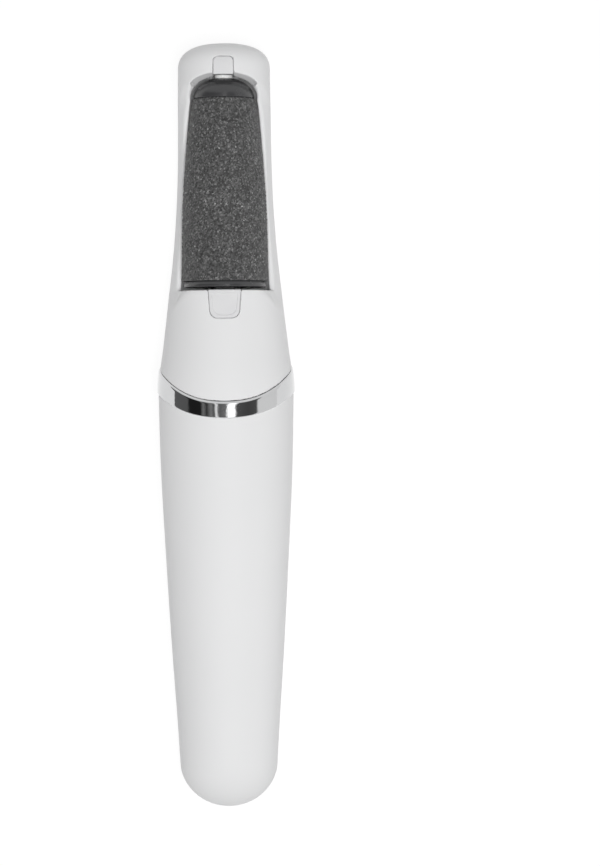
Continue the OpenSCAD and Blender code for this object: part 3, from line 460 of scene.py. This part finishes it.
def front_shell_solid(x, s, z):
    """The front half, with the posts that the screws bite into."""
    shell = cut(handle_shell(x, s, z), split_z(s) + SPLIT_GAP - z, 0.14)
    posts = np.maximum(bosses(x, s, z, BOSS_MEET_Z, 40, THREAD_R), skin(x, s, z, 1))
    return np.minimum(shell, posts)


def long_slot(x, s, w, s0, s1):
    """A slot of width w with round ends."""
    return np.hypot(x, s - np.clip(s, s0 + w / 2, s1 - w / 2)) - w / 2


KNOB_S, KNOB_LENGTH, KNOB_WIDTH = 51.6, 7.0, 5.4
RECESS, RECESS_GAP, SWITCH_TRAVEL = 1.05, 0.4, 5.0
STEM_SLOT_W, STEM_SLOT_S = 3.0, (53.0, 62.2)
PORT_W, PORT_H, PORT_Z, PORT_DEPTH = 8.94, 3.16, 6.98, 5.7
LED_S, LED_HOLE_R = 45.0, 1.3


def rear_shell_solid(x, s, z):
    """The rear half, cut flat, with the knob's recess, the screws' holes, the light's hole and the port."""
    shell = cut(handle_shell(x, s, z), z - split_z(s) + SPLIT_GAP, 0.14)
    shell = cut(shell, -z, 0.25)
    shell = np.minimum(shell, bosses(x, s, z, 1, BOSS_MEET_Z - 0.1, SCREW_CLEAR_R))
    recess_end = KNOB_S + KNOB_LENGTH + SWITCH_TRAVEL + RECESS_GAP
    recess = long_slot(x, s, KNOB_WIDTH + 0.5, KNOB_S - RECESS_GAP, recess_end)
    shell = cut(shell, -np.maximum(recess, z - RECESS), 0.25)
    shell = np.maximum(shell, -np.maximum(long_slot(x, s, STEM_SLOT_W, *STEM_SLOT_S), z - 4))
    shell = cut(shell, -np.maximum(from_screws(x, s) - SCREW_HEAD_R, z - SCREW_SEAT_Z), 0.25)
    shell = np.maximum(shell, -np.maximum(from_screws(x, s) - SCREW_CLEAR_R, z - 20))
    shell = np.maximum(shell, -np.maximum(np.hypot(x, s - LED_S) - LED_HOLE_R, z - 5))
    reach = (PORT_W - PORT_H) / 2
    port = np.hypot(x - np.clip(x, -reach, reach), z - PORT_Z) - PORT_H / 2 - 0.2
    return cut(shell, -np.maximum(port, s - PORT_DEPTH), 0.3)


KNOB_SUNK = 0.15                        # the knob's face stays this far inside the flat back
GROOVE_PITCH, GROOVE_HALF_DEPTH = 1.1, 0.19


def knob_solid(x, s, z):
    """The switch's knob, with grooves across it for grip."""
    top = RECESS - 0.1
    knob = cut(long_slot(x, s, KNOB_WIDTH, KNOB_S, KNOB_S + KNOB_LENGTH), slab(z, KNOB_SUNK, top), 0.22)
    middle = KNOB_S + KNOB_LENGTH / 2
    depth = GROOVE_HALF_DEPTH * (1 + np.cos(2 * math.pi * (s - middle) / GROOVE_PITCH))
    grooves = np.maximum(z - KNOB_SUNK - depth, np.abs(x) - 1.9)
    grooves = np.maximum(grooves, slab(s, middle - 2 * GROOVE_PITCH, middle + 2 * GROOVE_PITCH))
    return cut(knob, -grooves, 0.08)


# ---------------------------------------------------------------- turned pieces
def turned_piece(name, profile, steps, bumps=None):
    """Turns a closed [radius, station] profile about the roller's axis."""
    angles = np.linspace(0, 2 * math.pi, steps, endpoint=False)
    profile = np.asarray(profile, float)
    n = len(profile)
    r = np.repeat(profile[:, 0][None], steps, 0)
    s = np.repeat(profile[:, 1][None], steps, 0)
    if bumps is not None:
        r = r + bumps(angles, profile)
    vertices = np.stack([r * np.sin(angles)[:, None], s, ROLLER_Z + r * np.cos(angles)[:, None]], -1)
    faces = []
    for i in range(steps):
        k = (i + 1) % steps
        for j in range(n):
            m = (j + 1) % n
            faces.append((i * n + j, i * n + m, k * n + m, k * n + j))
    piece = make_object(name, vertices.reshape(-1, 3), faces)
    if profile[:, 0].min() < 1e-6:
        merge_axis(piece.data)
    return piece


def merge_axis(mesh):
    """Makes one vertex of those that a profile puts on the axis."""
    b = bmesh.new()
    b.from_mesh(mesh)
    bmesh.ops.remove_doubles(b, verts=b.verts, dist=1e-7)
    b.to_mesh(mesh)
    b.free()
    mesh.update()


def rounded(points, radii, steps=5):
    """Outline with some of its corners rounded; radii go with the points."""
    out = []
    neighbours = zip(points, points[-1:] + points[:-1], points[1:] + points[:1])
    for (p, a, b), r in zip(neighbours, radii):
        if r == 0:
            out.append(tuple(p))
            continue
        p, a, b = (np.array(q, float) for q in (p, a, b))
        ua, ub = (a - p) / np.linalg.norm(a - p), (b - p) / np.linalg.norm(b - p)
        out += bezier(p + ua * r, p, p + ub * r, steps)
    return out


def grit_bumps(angles, profile):
    """Height of the mineral grains, packed over the outer face of the sleeve only."""
    on_outside = profile[:, 0] > sleeve_radius(profile[:, 1]) - 0.25
    at_end = np.minimum(profile[:, 1] - SLEEVE_S0, SLEEVE_S1 - profile[:, 1])
    weight = np.where(on_outside, np.clip(at_end / 0.4, 0.15, 1), 0)
    height = np.zeros((len(angles), len(profile)))
    for j in np.flatnonzero(weight):
        r, s = profile[j]
        for i, t in enumerate(angles):
            p = Vector((r * math.sin(t), s, r * math.cos(t)))
            near, points = noise.voronoi(p * 1.9)
            grain = noise.cell(points[0] * 3.1)
            height[i, j] = 0.4 * (0.45 + 0.75 * grain) * max(0, 0.6 - near[0]) - 0.07
    return height * weight


def grit_sleeve():
    """The abrasive tube, with its grains on the outside."""
    round_steps, length_steps = ((330, 225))
    top_r = float(sleeve_radius(SLEEVE_S1))
    inner_s = np.linspace(SLEEVE_S0, SLEEVE_S1, 40)
    outer_s = np.linspace(SLEEVE_S1 - 0.4, SLEEVE_S0 + 0.3, length_steps)
    profile = [(float(sleeve_radius(s)) - GRIT_T, s) for s in inner_s]
    profile += [(top_r - 0.5, SLEEVE_S1), (top_r - 0.2, SLEEVE_S1 - 0.1)]
    profile += [(float(sleeve_radius(s)), s) for s in outer_s]
    profile += [(SLEEVE_R - 0.1, SLEEVE_S0 + 0.1), (SLEEVE_R - 0.3, SLEEVE_S0)]
    return turned_piece("abrasive_grit_sleeve", profile, round_steps, grit_bumps)


def dome_cap():
    """The elliptical dome, with the plug that holds it in the roller's core and the bore for the pin."""
    plug, bore, top = CORE_BORE_R - 0.05, PIN_R + RUNNING_GAP, SLEEVE_S1 + DOME_H
    heights = np.linspace(0.25, DOME_H - 0.25, 26)
    dome = [(DOME_R * math.sqrt(1 - (h / DOME_FULL_H) ** 2), SLEEVE_S1 + h) for h in heights]
    last_r = dome[-1][0]
    profile = [(bore, SLEEVE_S1 - 1), (plug, SLEEVE_S1 - 1), (plug, SLEEVE_S1), (DOME_R - 0.25, SLEEVE_S1),
               (DOME_R - 0.06, SLEEVE_S1 + 0.06)] + dome
    profile += bezier(dome[-1], (last_r - 0.35, top), (last_r - 0.8, top), 5)
    profile += bezier((bore + 0.3, top), (bore, top), (bore, top - 0.3), 4)
    return turned_piece("roller_dome", profile, 144)


def base_cap():
    """The flange below the sleeve, with the groove between them and the plug in the roller's core."""
    edge, groove, plug = 0.25, 0.6, CORE_BORE_R - 0.05
    corner = arc((FLANGE_R - edge, FLANGE_S + edge), edge, -90, 0, 8)
    profile = [(0, FLANGE_S)] + corner + rounded(
        [(FLANGE_R, SLEEVE_S0 - 0.3), (FLANGE_R - groove, SLEEVE_S0 - 0.3), (FLANGE_R - groove, SLEEVE_S0),
         (plug, SLEEVE_S0), (plug, SLEEVE_S0 + 5), (0, SLEEVE_S0 + 5)],
        [0.12, 0.08, 0, 0, 0.3, 0])
    return turned_piece("roller_base", profile, 144)


def end_pin():
    """The sprung pin at the roller's upper end, which the bearing block holds."""
    tip = arc((PIN_R - PIN_ROUND, PIN_TIP_S - PIN_ROUND), PIN_ROUND, 0, 90, 10)
    r, top = PIN_FLANGE_R, PIN_FLANGE_S + PIN_FLANGE_T
    flange = rounded([(0, PIN_FLANGE_S), (r, PIN_FLANGE_S), (r, top), (PIN_R, top)], [0, 0.15, 0.15, 0])
    return turned_piece("roller_end_pin", flange + tip + [(0, PIN_TIP_S)], 96)


def shank_solid(x, s, z):
    """The square shank that the drive socket turns."""
    square = cut(slab(x, -SHANK_HALF, SHANK_HALF), slab(z - ROLLER_Z, -SHANK_HALF, SHANK_HALF), 0.3)
    return cut(square, slab(s, SHANK_S, FLANGE_S + 0.3), 0.25)


# ---------------------------------------------------------------- materials
class Shader:
    """A principled material whose colour, roughness and relief come from procedural nodes."""

    def __init__(self, name, **constants):
        self.material = bpy.data.materials.new(name)
        self.material.use_nodes = True
        self.tree = self.material.node_tree
        self.principled = next(n for n in self.tree.nodes if n.type == "BSDF_PRINCIPLED")
        for socket, value in constants.items():
            self.principled.inputs[socket.replace("_", " ")].default_value = value
        self.place = self.tree.nodes.new("ShaderNodeTexCoord").outputs["Object"]
        self.relief = None

    def node(self, kind, **settings):
        node = self.tree.nodes.new(kind)
        for key, value in settings.items():
            if hasattr(node, key):
                setattr(node, key, value)
            else:
                node.inputs[key.replace("_", " ")].default_value = value
        return node

    def link(self, output, target):
        self.tree.links.new(output, target)

    def noise(self, scale, detail=3.0, rough=0.5, stretch=None):
        node = self.node("ShaderNodeTexNoise", Scale=scale, Detail=detail, Roughness=rough)
        self.link(self.stretched(stretch), node.inputs["Vector"])
        return node.outputs["Fac"]

    def stretched(self, stretch):
        if stretch is None:
            return self.place
        mapping = self.node("ShaderNodeMapping")
        mapping.inputs["Scale"].default_value = stretch
        self.link(self.place, mapping.inputs["Vector"])
        return mapping.outputs["Vector"]

    def cells(self, scale):
        node = self.node("ShaderNodeTexVoronoi", Scale=scale)
        self.link(self.place, node.inputs["Vector"])
        return node.outputs

    def bands(self, scale, distortion):
        node = self.node("ShaderNodeTexWave", bands_direction="Y", Scale=scale, Distortion=distortion)
        self.link(self.place, node.inputs["Vector"])
        return node.outputs["Fac"]

    def ramp(self, factor, stops):
        node = self.node("ShaderNodeValToRGB")
        ramp = node.color_ramp
        while len(ramp.elements) < len(stops):
            ramp.elements.new(0.5)
        for element, (position, value) in zip(ramp.elements, stops):
            element.position = position
            element.color = (*value, 1) if isinstance(value, tuple) else (value, value, value, 1)
        self.link(factor, node.inputs["Fac"])
        return node.outputs["Color"]

    def colour(self, output):
        self.link(output, self.principled.inputs["Base Color"])

    def mottle(self, factor, dark, light):
        """Colour that drifts between two close shades."""
        self.colour(self.ramp(factor, [(0.3, dark), (0.7, light)]))

    def roughness(self, factor, low, high):
        """Gloss that varies between two values."""
        node = self.node("ShaderNodeMapRange")
        node.inputs["To Min"].default_value = low
        node.inputs["To Max"].default_value = high
        self.link(factor, node.inputs["Value"])
        self.link(node.outputs["Result"], self.principled.inputs["Roughness"])

    def bump(self, height, strength, distance):
        """Adds relief on top of what is there already."""
        node = self.node("ShaderNodeBump", Strength=strength, Distance=distance)
        self.link(height, node.inputs["Height"])
        if self.relief is not None:
            self.link(self.relief, node.inputs["Normal"])
        self.relief = node.outputs["Normal"]
        self.link(self.relief, self.principled.inputs["Normal"])


def shade(colour, k):
    """A colour made darker or lighter."""
    return tuple(min(1.0, c * k) for c in colour)


def plastic(name, colour, rough, spread, grain, relief, **constants):
    """Moulded plastic: faint flow variation, a fine tool texture and uneven gloss."""
    m = Shader(name, **constants)
    m.mottle(m.noise(60, 4), shade(colour, 1 - spread / 2), shade(colour, 1 + spread / 2))
    m.roughness(m.noise(350, 3), rough - 0.05, rough + 0.07)
    m.bump(m.noise(grain, 2), relief, 0.00002)
    return m.material


def metal(name, colour, rough, stretch=(1, 0.04, 1), scale=2600, relief=0.12):
    """Machined or drawn metal: fine lines, and patches of duller surface."""
    m = Shader(name, Metallic=1.0)
    lines = m.noise(scale, 4, 0.6, stretch)
    m.mottle(m.noise(180, 4), shade(colour, 0.86), shade(colour, 1.08))
    m.roughness(lines, rough * 0.7, rough * 1.4)
    m.bump(lines, relief, 0.00001)
    return m.material


def shell_white():
    m = Shader("shell_white", IOR=1.47, Specular_IOR_Level=0.42)
    m.mottle(m.noise(25, 3), (0.757, 0.759, 0.764), (0.778, 0.779, 0.783))
    m.roughness(m.noise(240, 4), 0.36, 0.46)
    m.bump(m.noise(5200, 2), 0.035, 0.00002)
    m.bump(m.noise(70, 2), 0.02, 0.0002)
    return m.material


def tab_white():
    m = Shader("tab_white", IOR=1.46, Specular_IOR_Level=0.35)
    # The tabs' own white, darker than the shell's white; the darkening also paints the shade that falls on
    # their flat faces.
    m.mottle(m.noise(200, 3), (0.69, 0.69, 0.7), (0.72, 0.72, 0.725))
    m.roughness(m.noise(900, 3), 0.46, 0.58)
    m.bump(m.cells(6500)["Distance"], 0.06, 0.00002)
    return m.material


def chrome():
    m = Shader("ring_chrome", Metallic=1.0)
    m.mottle(m.noise(90, 3), (0.61, 0.614, 0.62), (0.66, 0.662, 0.666))
    scratches = m.noise(900, 5, 0.7, (0.15, 3, 0.15))
    m.roughness(scratches, 0.035, 0.1)
    m.bump(scratches, 0.02, 0.00001)
    m.bump(m.noise(260, 2), 0.25, 0.00012)
    m.bump(m.noise(1300, 3), 0.16, 0.00004)
    return m.material


def grit():
    """Packed mineral grains in a grey binder: each grain its own grey, a few of them far paler."""
    m = Shader("abrasive_grit", IOR=1.55)
    grains = m.cells(2900)
    greys = [(0.0, 0.02), (0.35, 0.055), (0.72, 0.11), (0.93, 0.24), (1.0, 0.62)]
    speckle = m.ramp(grains["Color"], greys)
    patch = m.ramp(m.noise(900, 5, 0.65), [(0.25, 0.7), (0.75, 1.25)])
    mixed = m.node("ShaderNodeMix", data_type="RGBA", blend_type="MULTIPLY")
    mixed.inputs["Factor"].default_value = 1.0
    m.link(speckle, mixed.inputs["A"])
    m.link(patch, mixed.inputs["B"])
    m.colour(mixed.outputs["Result"])
    m.roughness(grains["Distance"], 0.45, 0.9)
    m.bump(m.noise(4200, 5, 0.7), 0.5, 0.00008)
    m.bump(grains["Distance"], 0.6, 0.0001)
    return m.material


def nylon_pin():
    m = Shader("pin_nylon", IOR=1.53, Subsurface_Weight=0.35, Subsurface_Scale=0.001)
    m.principled.inputs["Subsurface Radius"].default_value = (1.0, 0.95, 0.9)
    m.mottle(m.noise(500, 3), (0.8, 0.8, 0.79), (0.86, 0.86, 0.85))
    m.roughness(m.noise(1200, 3), 0.28, 0.4)
    m.bump(m.noise(3000, 3), 0.05, 0.00002)
    return m.material


def circuit_board():
    """Green solder mask over copper tracks."""
    m = Shader("board_mask", Coat_Weight=0.4, Coat_Roughness=0.2)
    tracks = m.node("ShaderNodeTexBrick", Scale=420.0, offset=0.37, offset_frequency=3)
    tracks.inputs["Color1"].default_value = (0.02, 0.2, 0.07, 1)
    tracks.inputs["Color2"].default_value = (0.015, 0.15, 0.055, 1)
    tracks.inputs["Mortar"].default_value = (0.05, 0.33, 0.12, 1)
    tracks.inputs["Mortar Size"].default_value = 0.04
    m.link(m.place, tracks.inputs["Vector"])
    m.colour(tracks.outputs["Color"])
    m.roughness(m.noise(800, 3), 0.3, 0.45)
    m.bump(tracks.outputs["Fac"], 0.3, 0.00003)
    return m.material


def wound(name, colour, scale, rough):
    """Something laid in fine regular layers: wire turns or stacked sheets."""
    m = Shader(name, Metallic=1.0)
    layers = m.bands(scale, 0.4)
    m.colour(m.ramp(layers, [(0.1, shade(colour, 0.45)), (0.6, colour)]))
    m.roughness(layers, rough + 0.15, rough)
    m.bump(layers, 0.5, 0.00005)
    return m.material


def cell_wrap():
    m = Shader("cell_wrap", Coat_Weight=0.5, Coat_Roughness=0.12)
    m.mottle(m.noise(220, 3, stretch=(1, 0.3, 1)), (0.03, 0.13, 0.3), (0.04, 0.17, 0.37))
    m.roughness(m.noise(700, 3), 0.22, 0.34)
    m.bump(m.noise(900, 4, stretch=(1, 0.08, 1)), 0.12, 0.00005)
    return m.material


def frosted():
    m = Shader("light_pipe_clear", Transmission_Weight=0.8, IOR=1.49)
    m.mottle(m.noise(900, 3), (0.86, 0.9, 0.91), (0.93, 0.95, 0.96))
    m.roughness(m.noise(1500, 3), 0.25, 0.4)
    m.bump(m.noise(4000, 2), 0.1, 0.00002)
    return m.material


def floor_white():
    m = Shader("studio_floor", Roughness=0.9, Specular_IOR_Level=0.0, Emission_Strength=0.88)
    m.principled.inputs["Emission Color"].default_value = (1, 1, 1, 1)
    m.mottle(m.noise(4, 2), (0.135, 0.135, 0.135), (0.145, 0.145, 0.145))
    return m.material


MATERIALS = {
    "shell": shell_white(),
    "tab": tab_white(),
    "ring": chrome(),
    "steel": metal("bright_steel", (0.62, 0.63, 0.65), 0.28),
    "frame_plastic": plastic("frame_black", (0.035, 0.036, 0.04), 0.5, 0.3, 5000, 0.12),
    "cell_wrap": cell_wrap(),
    "lead_red": plastic("lead_red", (0.45, 0.02, 0.02), 0.42, 0.15, 3000, 0.1),
    "lead_black": plastic("lead_black", (0.02, 0.02, 0.02), 0.42, 0.2, 3000, 0.1),
    "board": circuit_board(),
    "nylon": plastic("white_nylon", (0.78, 0.78, 0.75), 0.38, 0.06, 2600, 0.08),
    "led": plastic("led_amber", (0.75, 0.4, 0.15), 0.2, 0.1, 2000, 0.05),
    "clear": frosted(),
    "magnet": plastic("ferrite", (0.045, 0.045, 0.05), 0.6, 0.5, 1500, 0.4),
    "laminations": wound("laminations", (0.45, 0.45, 0.47), 620, 0.3),
    "copper": wound("enamelled_copper", (0.75, 0.3, 0.14), 900, 0.22),
    "bronze": metal("sintered_bronze", (0.62, 0.42, 0.2), 0.4, (1, 1, 1), 2200, 0.3),
    # A rubber seal in the well under the roller, made near-black so that it paints the deep shade in the gap
    # under the roller's flange (painted shade).
    "seal_rubber": plastic("seal_rubber", (0.018, 0.018, 0.018), 0.62, 0.3, 4000, 0.2),
    "dark_gloss": plastic("roller_dark_gloss", (0.045, 0.045, 0.047), 0.24, 0.12, 2600, 0.04, IOR=1.52),
    "dark_matte": plastic("roller_dark_matte", (0.05, 0.05, 0.053), 0.5, 0.2, 3500, 0.15),
    "grit": grit(),
}


def dress(piece, slot):
    """Gives a piece its one material."""
    piece.data.materials.clear()
    piece.data.materials.append(MATERIALS[slot])


for entry in frame["record"]["subparts"]:
    cad_node = frame["nodes"][entry["node"]]
    for place in cad_node.material_slots:
        place.material = MATERIALS[entry["material_slot"]]


# ---------------------------------------------------------------- build the visible pieces
FINE = 0.35                             # grid spacing where a moulding has small detail
HEAD_TILT = [(96, 0.5), (104, 0.5), (120, 0.0)]         # station, and tilt of the sampling layers there
HANDLE_TILT = [(72, 0.0), (90, 0.4)]


def add(piece, body, node, slot):
    """Puts a finished piece on its body, in place of its CAD node."""
    dress(piece, slot)
    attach(piece, body)
    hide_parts(node)
    return piece


add(solid_piece("head_moulding", head_solid, (-17.4, 17.4),
                [(88, 99, 0.9), (99, 101.05, 0.41), (101.05, 102.85, 0.3), (102.85, 120.15, 0.69),
                 (120.15, 131.35, FINE), (131.35, 174.05, 0.7), (174.05, 192.25, FINE)],
                (-0.6, 33), FINE, HEAD_TILT), "housing", "head_shell", "shell")
add(solid_piece("front_moulding", front_shell_solid, (-17.4, 17.4),
                [(-0.4, 12, FINE), (12, 94.4, 0.9), (94.4, 98.6, 0.3)], (8, 33), 0.4, HANDLE_TILT),
    "housing", "handle_front_shell", "shell")
add(solid_piece("rear_moulding", rear_shell_solid, (-17.4, 17.4),
                [(-0.4, 14, FINE), (14, 42, 0.9), (42, 72.1, 0.43), (72.1, 94.4, 0.9), (94.4, 98.6, 0.3)],
                (-0.6, 17.5), 0.4, HANDLE_TILT), "housing", "handle_rear_shell", "shell")
add(solid_piece("chrome_ring", ring_solid, (-17.8, 17.8), [(96.87, 102.27, 0.18)], (-0.6, 33.2), 0.36,
                [RING_BOTTOM, RING_TOP]), "housing", "trim_ring", "ring")
add(solid_piece("pin_bearing", block_solid, (-4.8, 4.8), [(182.3, 187.9, 0.16)], (15.6, 27.5), 0.16),
    "housing", "pin_bearing_block", "tab")
add(solid_piece("release_tab", button_solid, (-5.8, 5.8), [(121.8, 129.8, 0.15)], (24.4, 30), 0.15),
    "button", "release_button", "tab")
add(solid_piece("slide_knob", knob_solid, (-3.1, 3.1), [(51.2, 59, 0.14)], (-0.1, 1.3), 0.11),
    "switch", "switch_knob", "tab")

add(grit_sleeve(), "drive", "abrasive_sleeve", "grit")
add(dome_cap(), "drive", "roller_dome_cap", "dark_gloss")
add(base_cap(), "drive", "roller_base_cap", "dark_gloss")
pin_piece = add(end_pin(), "pin", "roller_pin", "nylon")
pin_piece.data.materials[0] = nylon_pin()
add(solid_piece("roller_shank", shank_solid, (-3, 3), [(126.5, 130.8, 0.2)], (17.6, 23.4), 0.2),
    "drive", "roller_base_cap", "dark_gloss")


def add_spring(name, node):
    """A copy of a spring's coil, put in place of its CAD node."""
    mesh = frame["nodes"][node].data.copy()
    coil = bpy.data.objects.new(name, mesh)
    bpy.context.scene.collection.objects.link(coil)
    add(coil, "drive", node, "steel")
    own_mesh(coil)


add_spring("socket_coil", "socket_spring")
add_spring("pin_coil", "pin_spring")


# ---------------------------------------------------------------- studio
def add_floor():
    """Just below the flat back, so that the two faces never meet."""
    size, level = 1.5, -0.0003
    corners = [(-size, -size, level), (size, -size, level), (size, size, level), (-size, size, level)]
    mesh = bpy.data.meshes.new("studio_floor")
    mesh.from_pydata(corners, [], [(0, 1, 2, 3)])
    floor = bpy.data.objects.new("studio_floor", mesh)
    bpy.context.scene.collection.objects.link(floor)
    mesh.materials.append(floor_white())


def add_area_light(name, place, target, size, power):
    data = bpy.data.lights.new(name, "AREA")
    data.shape, data.size, data.energy = "DISK", size, power
    light = bpy.data.objects.new(name, data)
    light.location = place
    light.rotation_euler = (Vector(target) - Vector(place)).to_track_quat("-Z", "Y").to_euler()
    light.visible_glossy = False
    bpy.context.scene.collection.objects.link(light)


def studio_world():
    """Even white surroundings, and for mirror-like surfaces the dark panels that the ring reflects."""
    world = bpy.data.worlds.new("studio")
    bpy.context.scene.world = world
    world.use_nodes = True
    tree = world.node_tree
    tree.nodes.clear()

    def node(kind):
        return tree.nodes.new(kind)

    out, soft, mirrored, mixer = (node(k) for k in (
        "ShaderNodeOutputWorld", "ShaderNodeBackground", "ShaderNodeBackground", "ShaderNodeMixShader"))
    soft.inputs["Color"].default_value = (1, 1, 1, 1)
    soft.inputs["Strength"].default_value = 0.12
    place, split, angle, scaled, ramp, path = (node(k) for k in (
        "ShaderNodeTexCoord", "ShaderNodeSeparateXYZ", "ShaderNodeMath", "ShaderNodeMapRange",
        "ShaderNodeValToRGB", "ShaderNodeLightPath"))
    angle.operation = "ARCTAN2"
    tree.links.new(place.outputs["Generated"], split.inputs["Vector"])
    tree.links.new(split.outputs["X"], angle.inputs[0])
    tree.links.new(split.outputs["Z"], angle.inputs[1])
    tree.links.new(angle.outputs[0], scaled.inputs["Value"])
    scaled.inputs["From Min"].default_value = math.radians(-100)
    scaled.inputs["From Max"].default_value = math.radians(100)
    # Angle round the device's length in degrees, and how bright the surroundings are there
    stops = [(-96, 0.8), (-93, 0.13), (-60, 0.12), (-56, 0.016), (-35, 0.016), (-30, 0.22), (-25, 0.03),
             (-18, 0.26), (-13, 0.07), (-11, 1.1), (-9.5, 1.1), (-8, 0.12), (0, 0.2), (2, 2.1), (9, 2.1),
             (12, 0.1), (30, 0.07), (45, 0.09), (48, 0.85)]
    elements = ramp.color_ramp.elements
    while len(elements) < len(stops):
        elements.new(0.5)
    for element, (degrees, value) in zip(elements, stops):
        element.position = (degrees + 100) / 200
        element.color = (value, value, value, 1)
    tree.links.new(scaled.outputs["Result"], ramp.inputs["Fac"])
    # The panels reach only so far along the device: beyond them, edges reflect plain white
    length, ends, lit = (node(k) for k in ("ShaderNodeMath", "ShaderNodeMapRange", "ShaderNodeMix"))
    length.operation = "ABSOLUTE"
    tree.links.new(split.outputs["Y"], length.inputs[0])
    tree.links.new(length.outputs[0], ends.inputs["Value"])
    ends.inputs["From Min"].default_value, ends.inputs["From Max"].default_value = 0.5, 0.7
    lit.data_type = "RGBA"
    lit.inputs["B"].default_value = (0.9, 0.9, 0.9, 1)
    tree.links.new(ends.outputs["Result"], lit.inputs["Factor"])
    tree.links.new(ramp.outputs["Color"], lit.inputs["A"])
    tree.links.new(lit.outputs["Result"], mirrored.inputs["Color"])
    tree.links.new(path.outputs["Is Glossy Ray"], mixer.inputs["Fac"])
    tree.links.new(soft.outputs["Background"], mixer.inputs[1])
    tree.links.new(mirrored.outputs["Background"], mixer.inputs[2])
    tree.links.new(mixer.outputs["Shader"], out.inputs["Surface"])


def add_camera():
    """Looks straight down on the front, as far away as a product photograph is taken."""
    distance, framed_height, turn = 1.1, 0.2165, math.radians(0.4)
    data = bpy.data.cameras.new("camera")
    data.sensor_fit = "VERTICAL"
    data.sensor_height = 24.0
    data.lens = data.sensor_height * distance / framed_height
    data.clip_end = 20
    camera = bpy.data.objects.new("camera", data)
    camera.location = (0.0184, -0.0019, distance + 0.016)
    camera.rotation_euler = (0, 0, -turn)
    bpy.context.scene.collection.objects.link(camera)
    bpy.context.scene.camera = camera


add_floor()
add_area_light("top_softbox", (0.12, -0.15, 1.6), (0, 0, 0), 0.7, 23.9)
studio_world()
add_camera()
bpy.context.scene.view_settings.view_transform = "Standard"
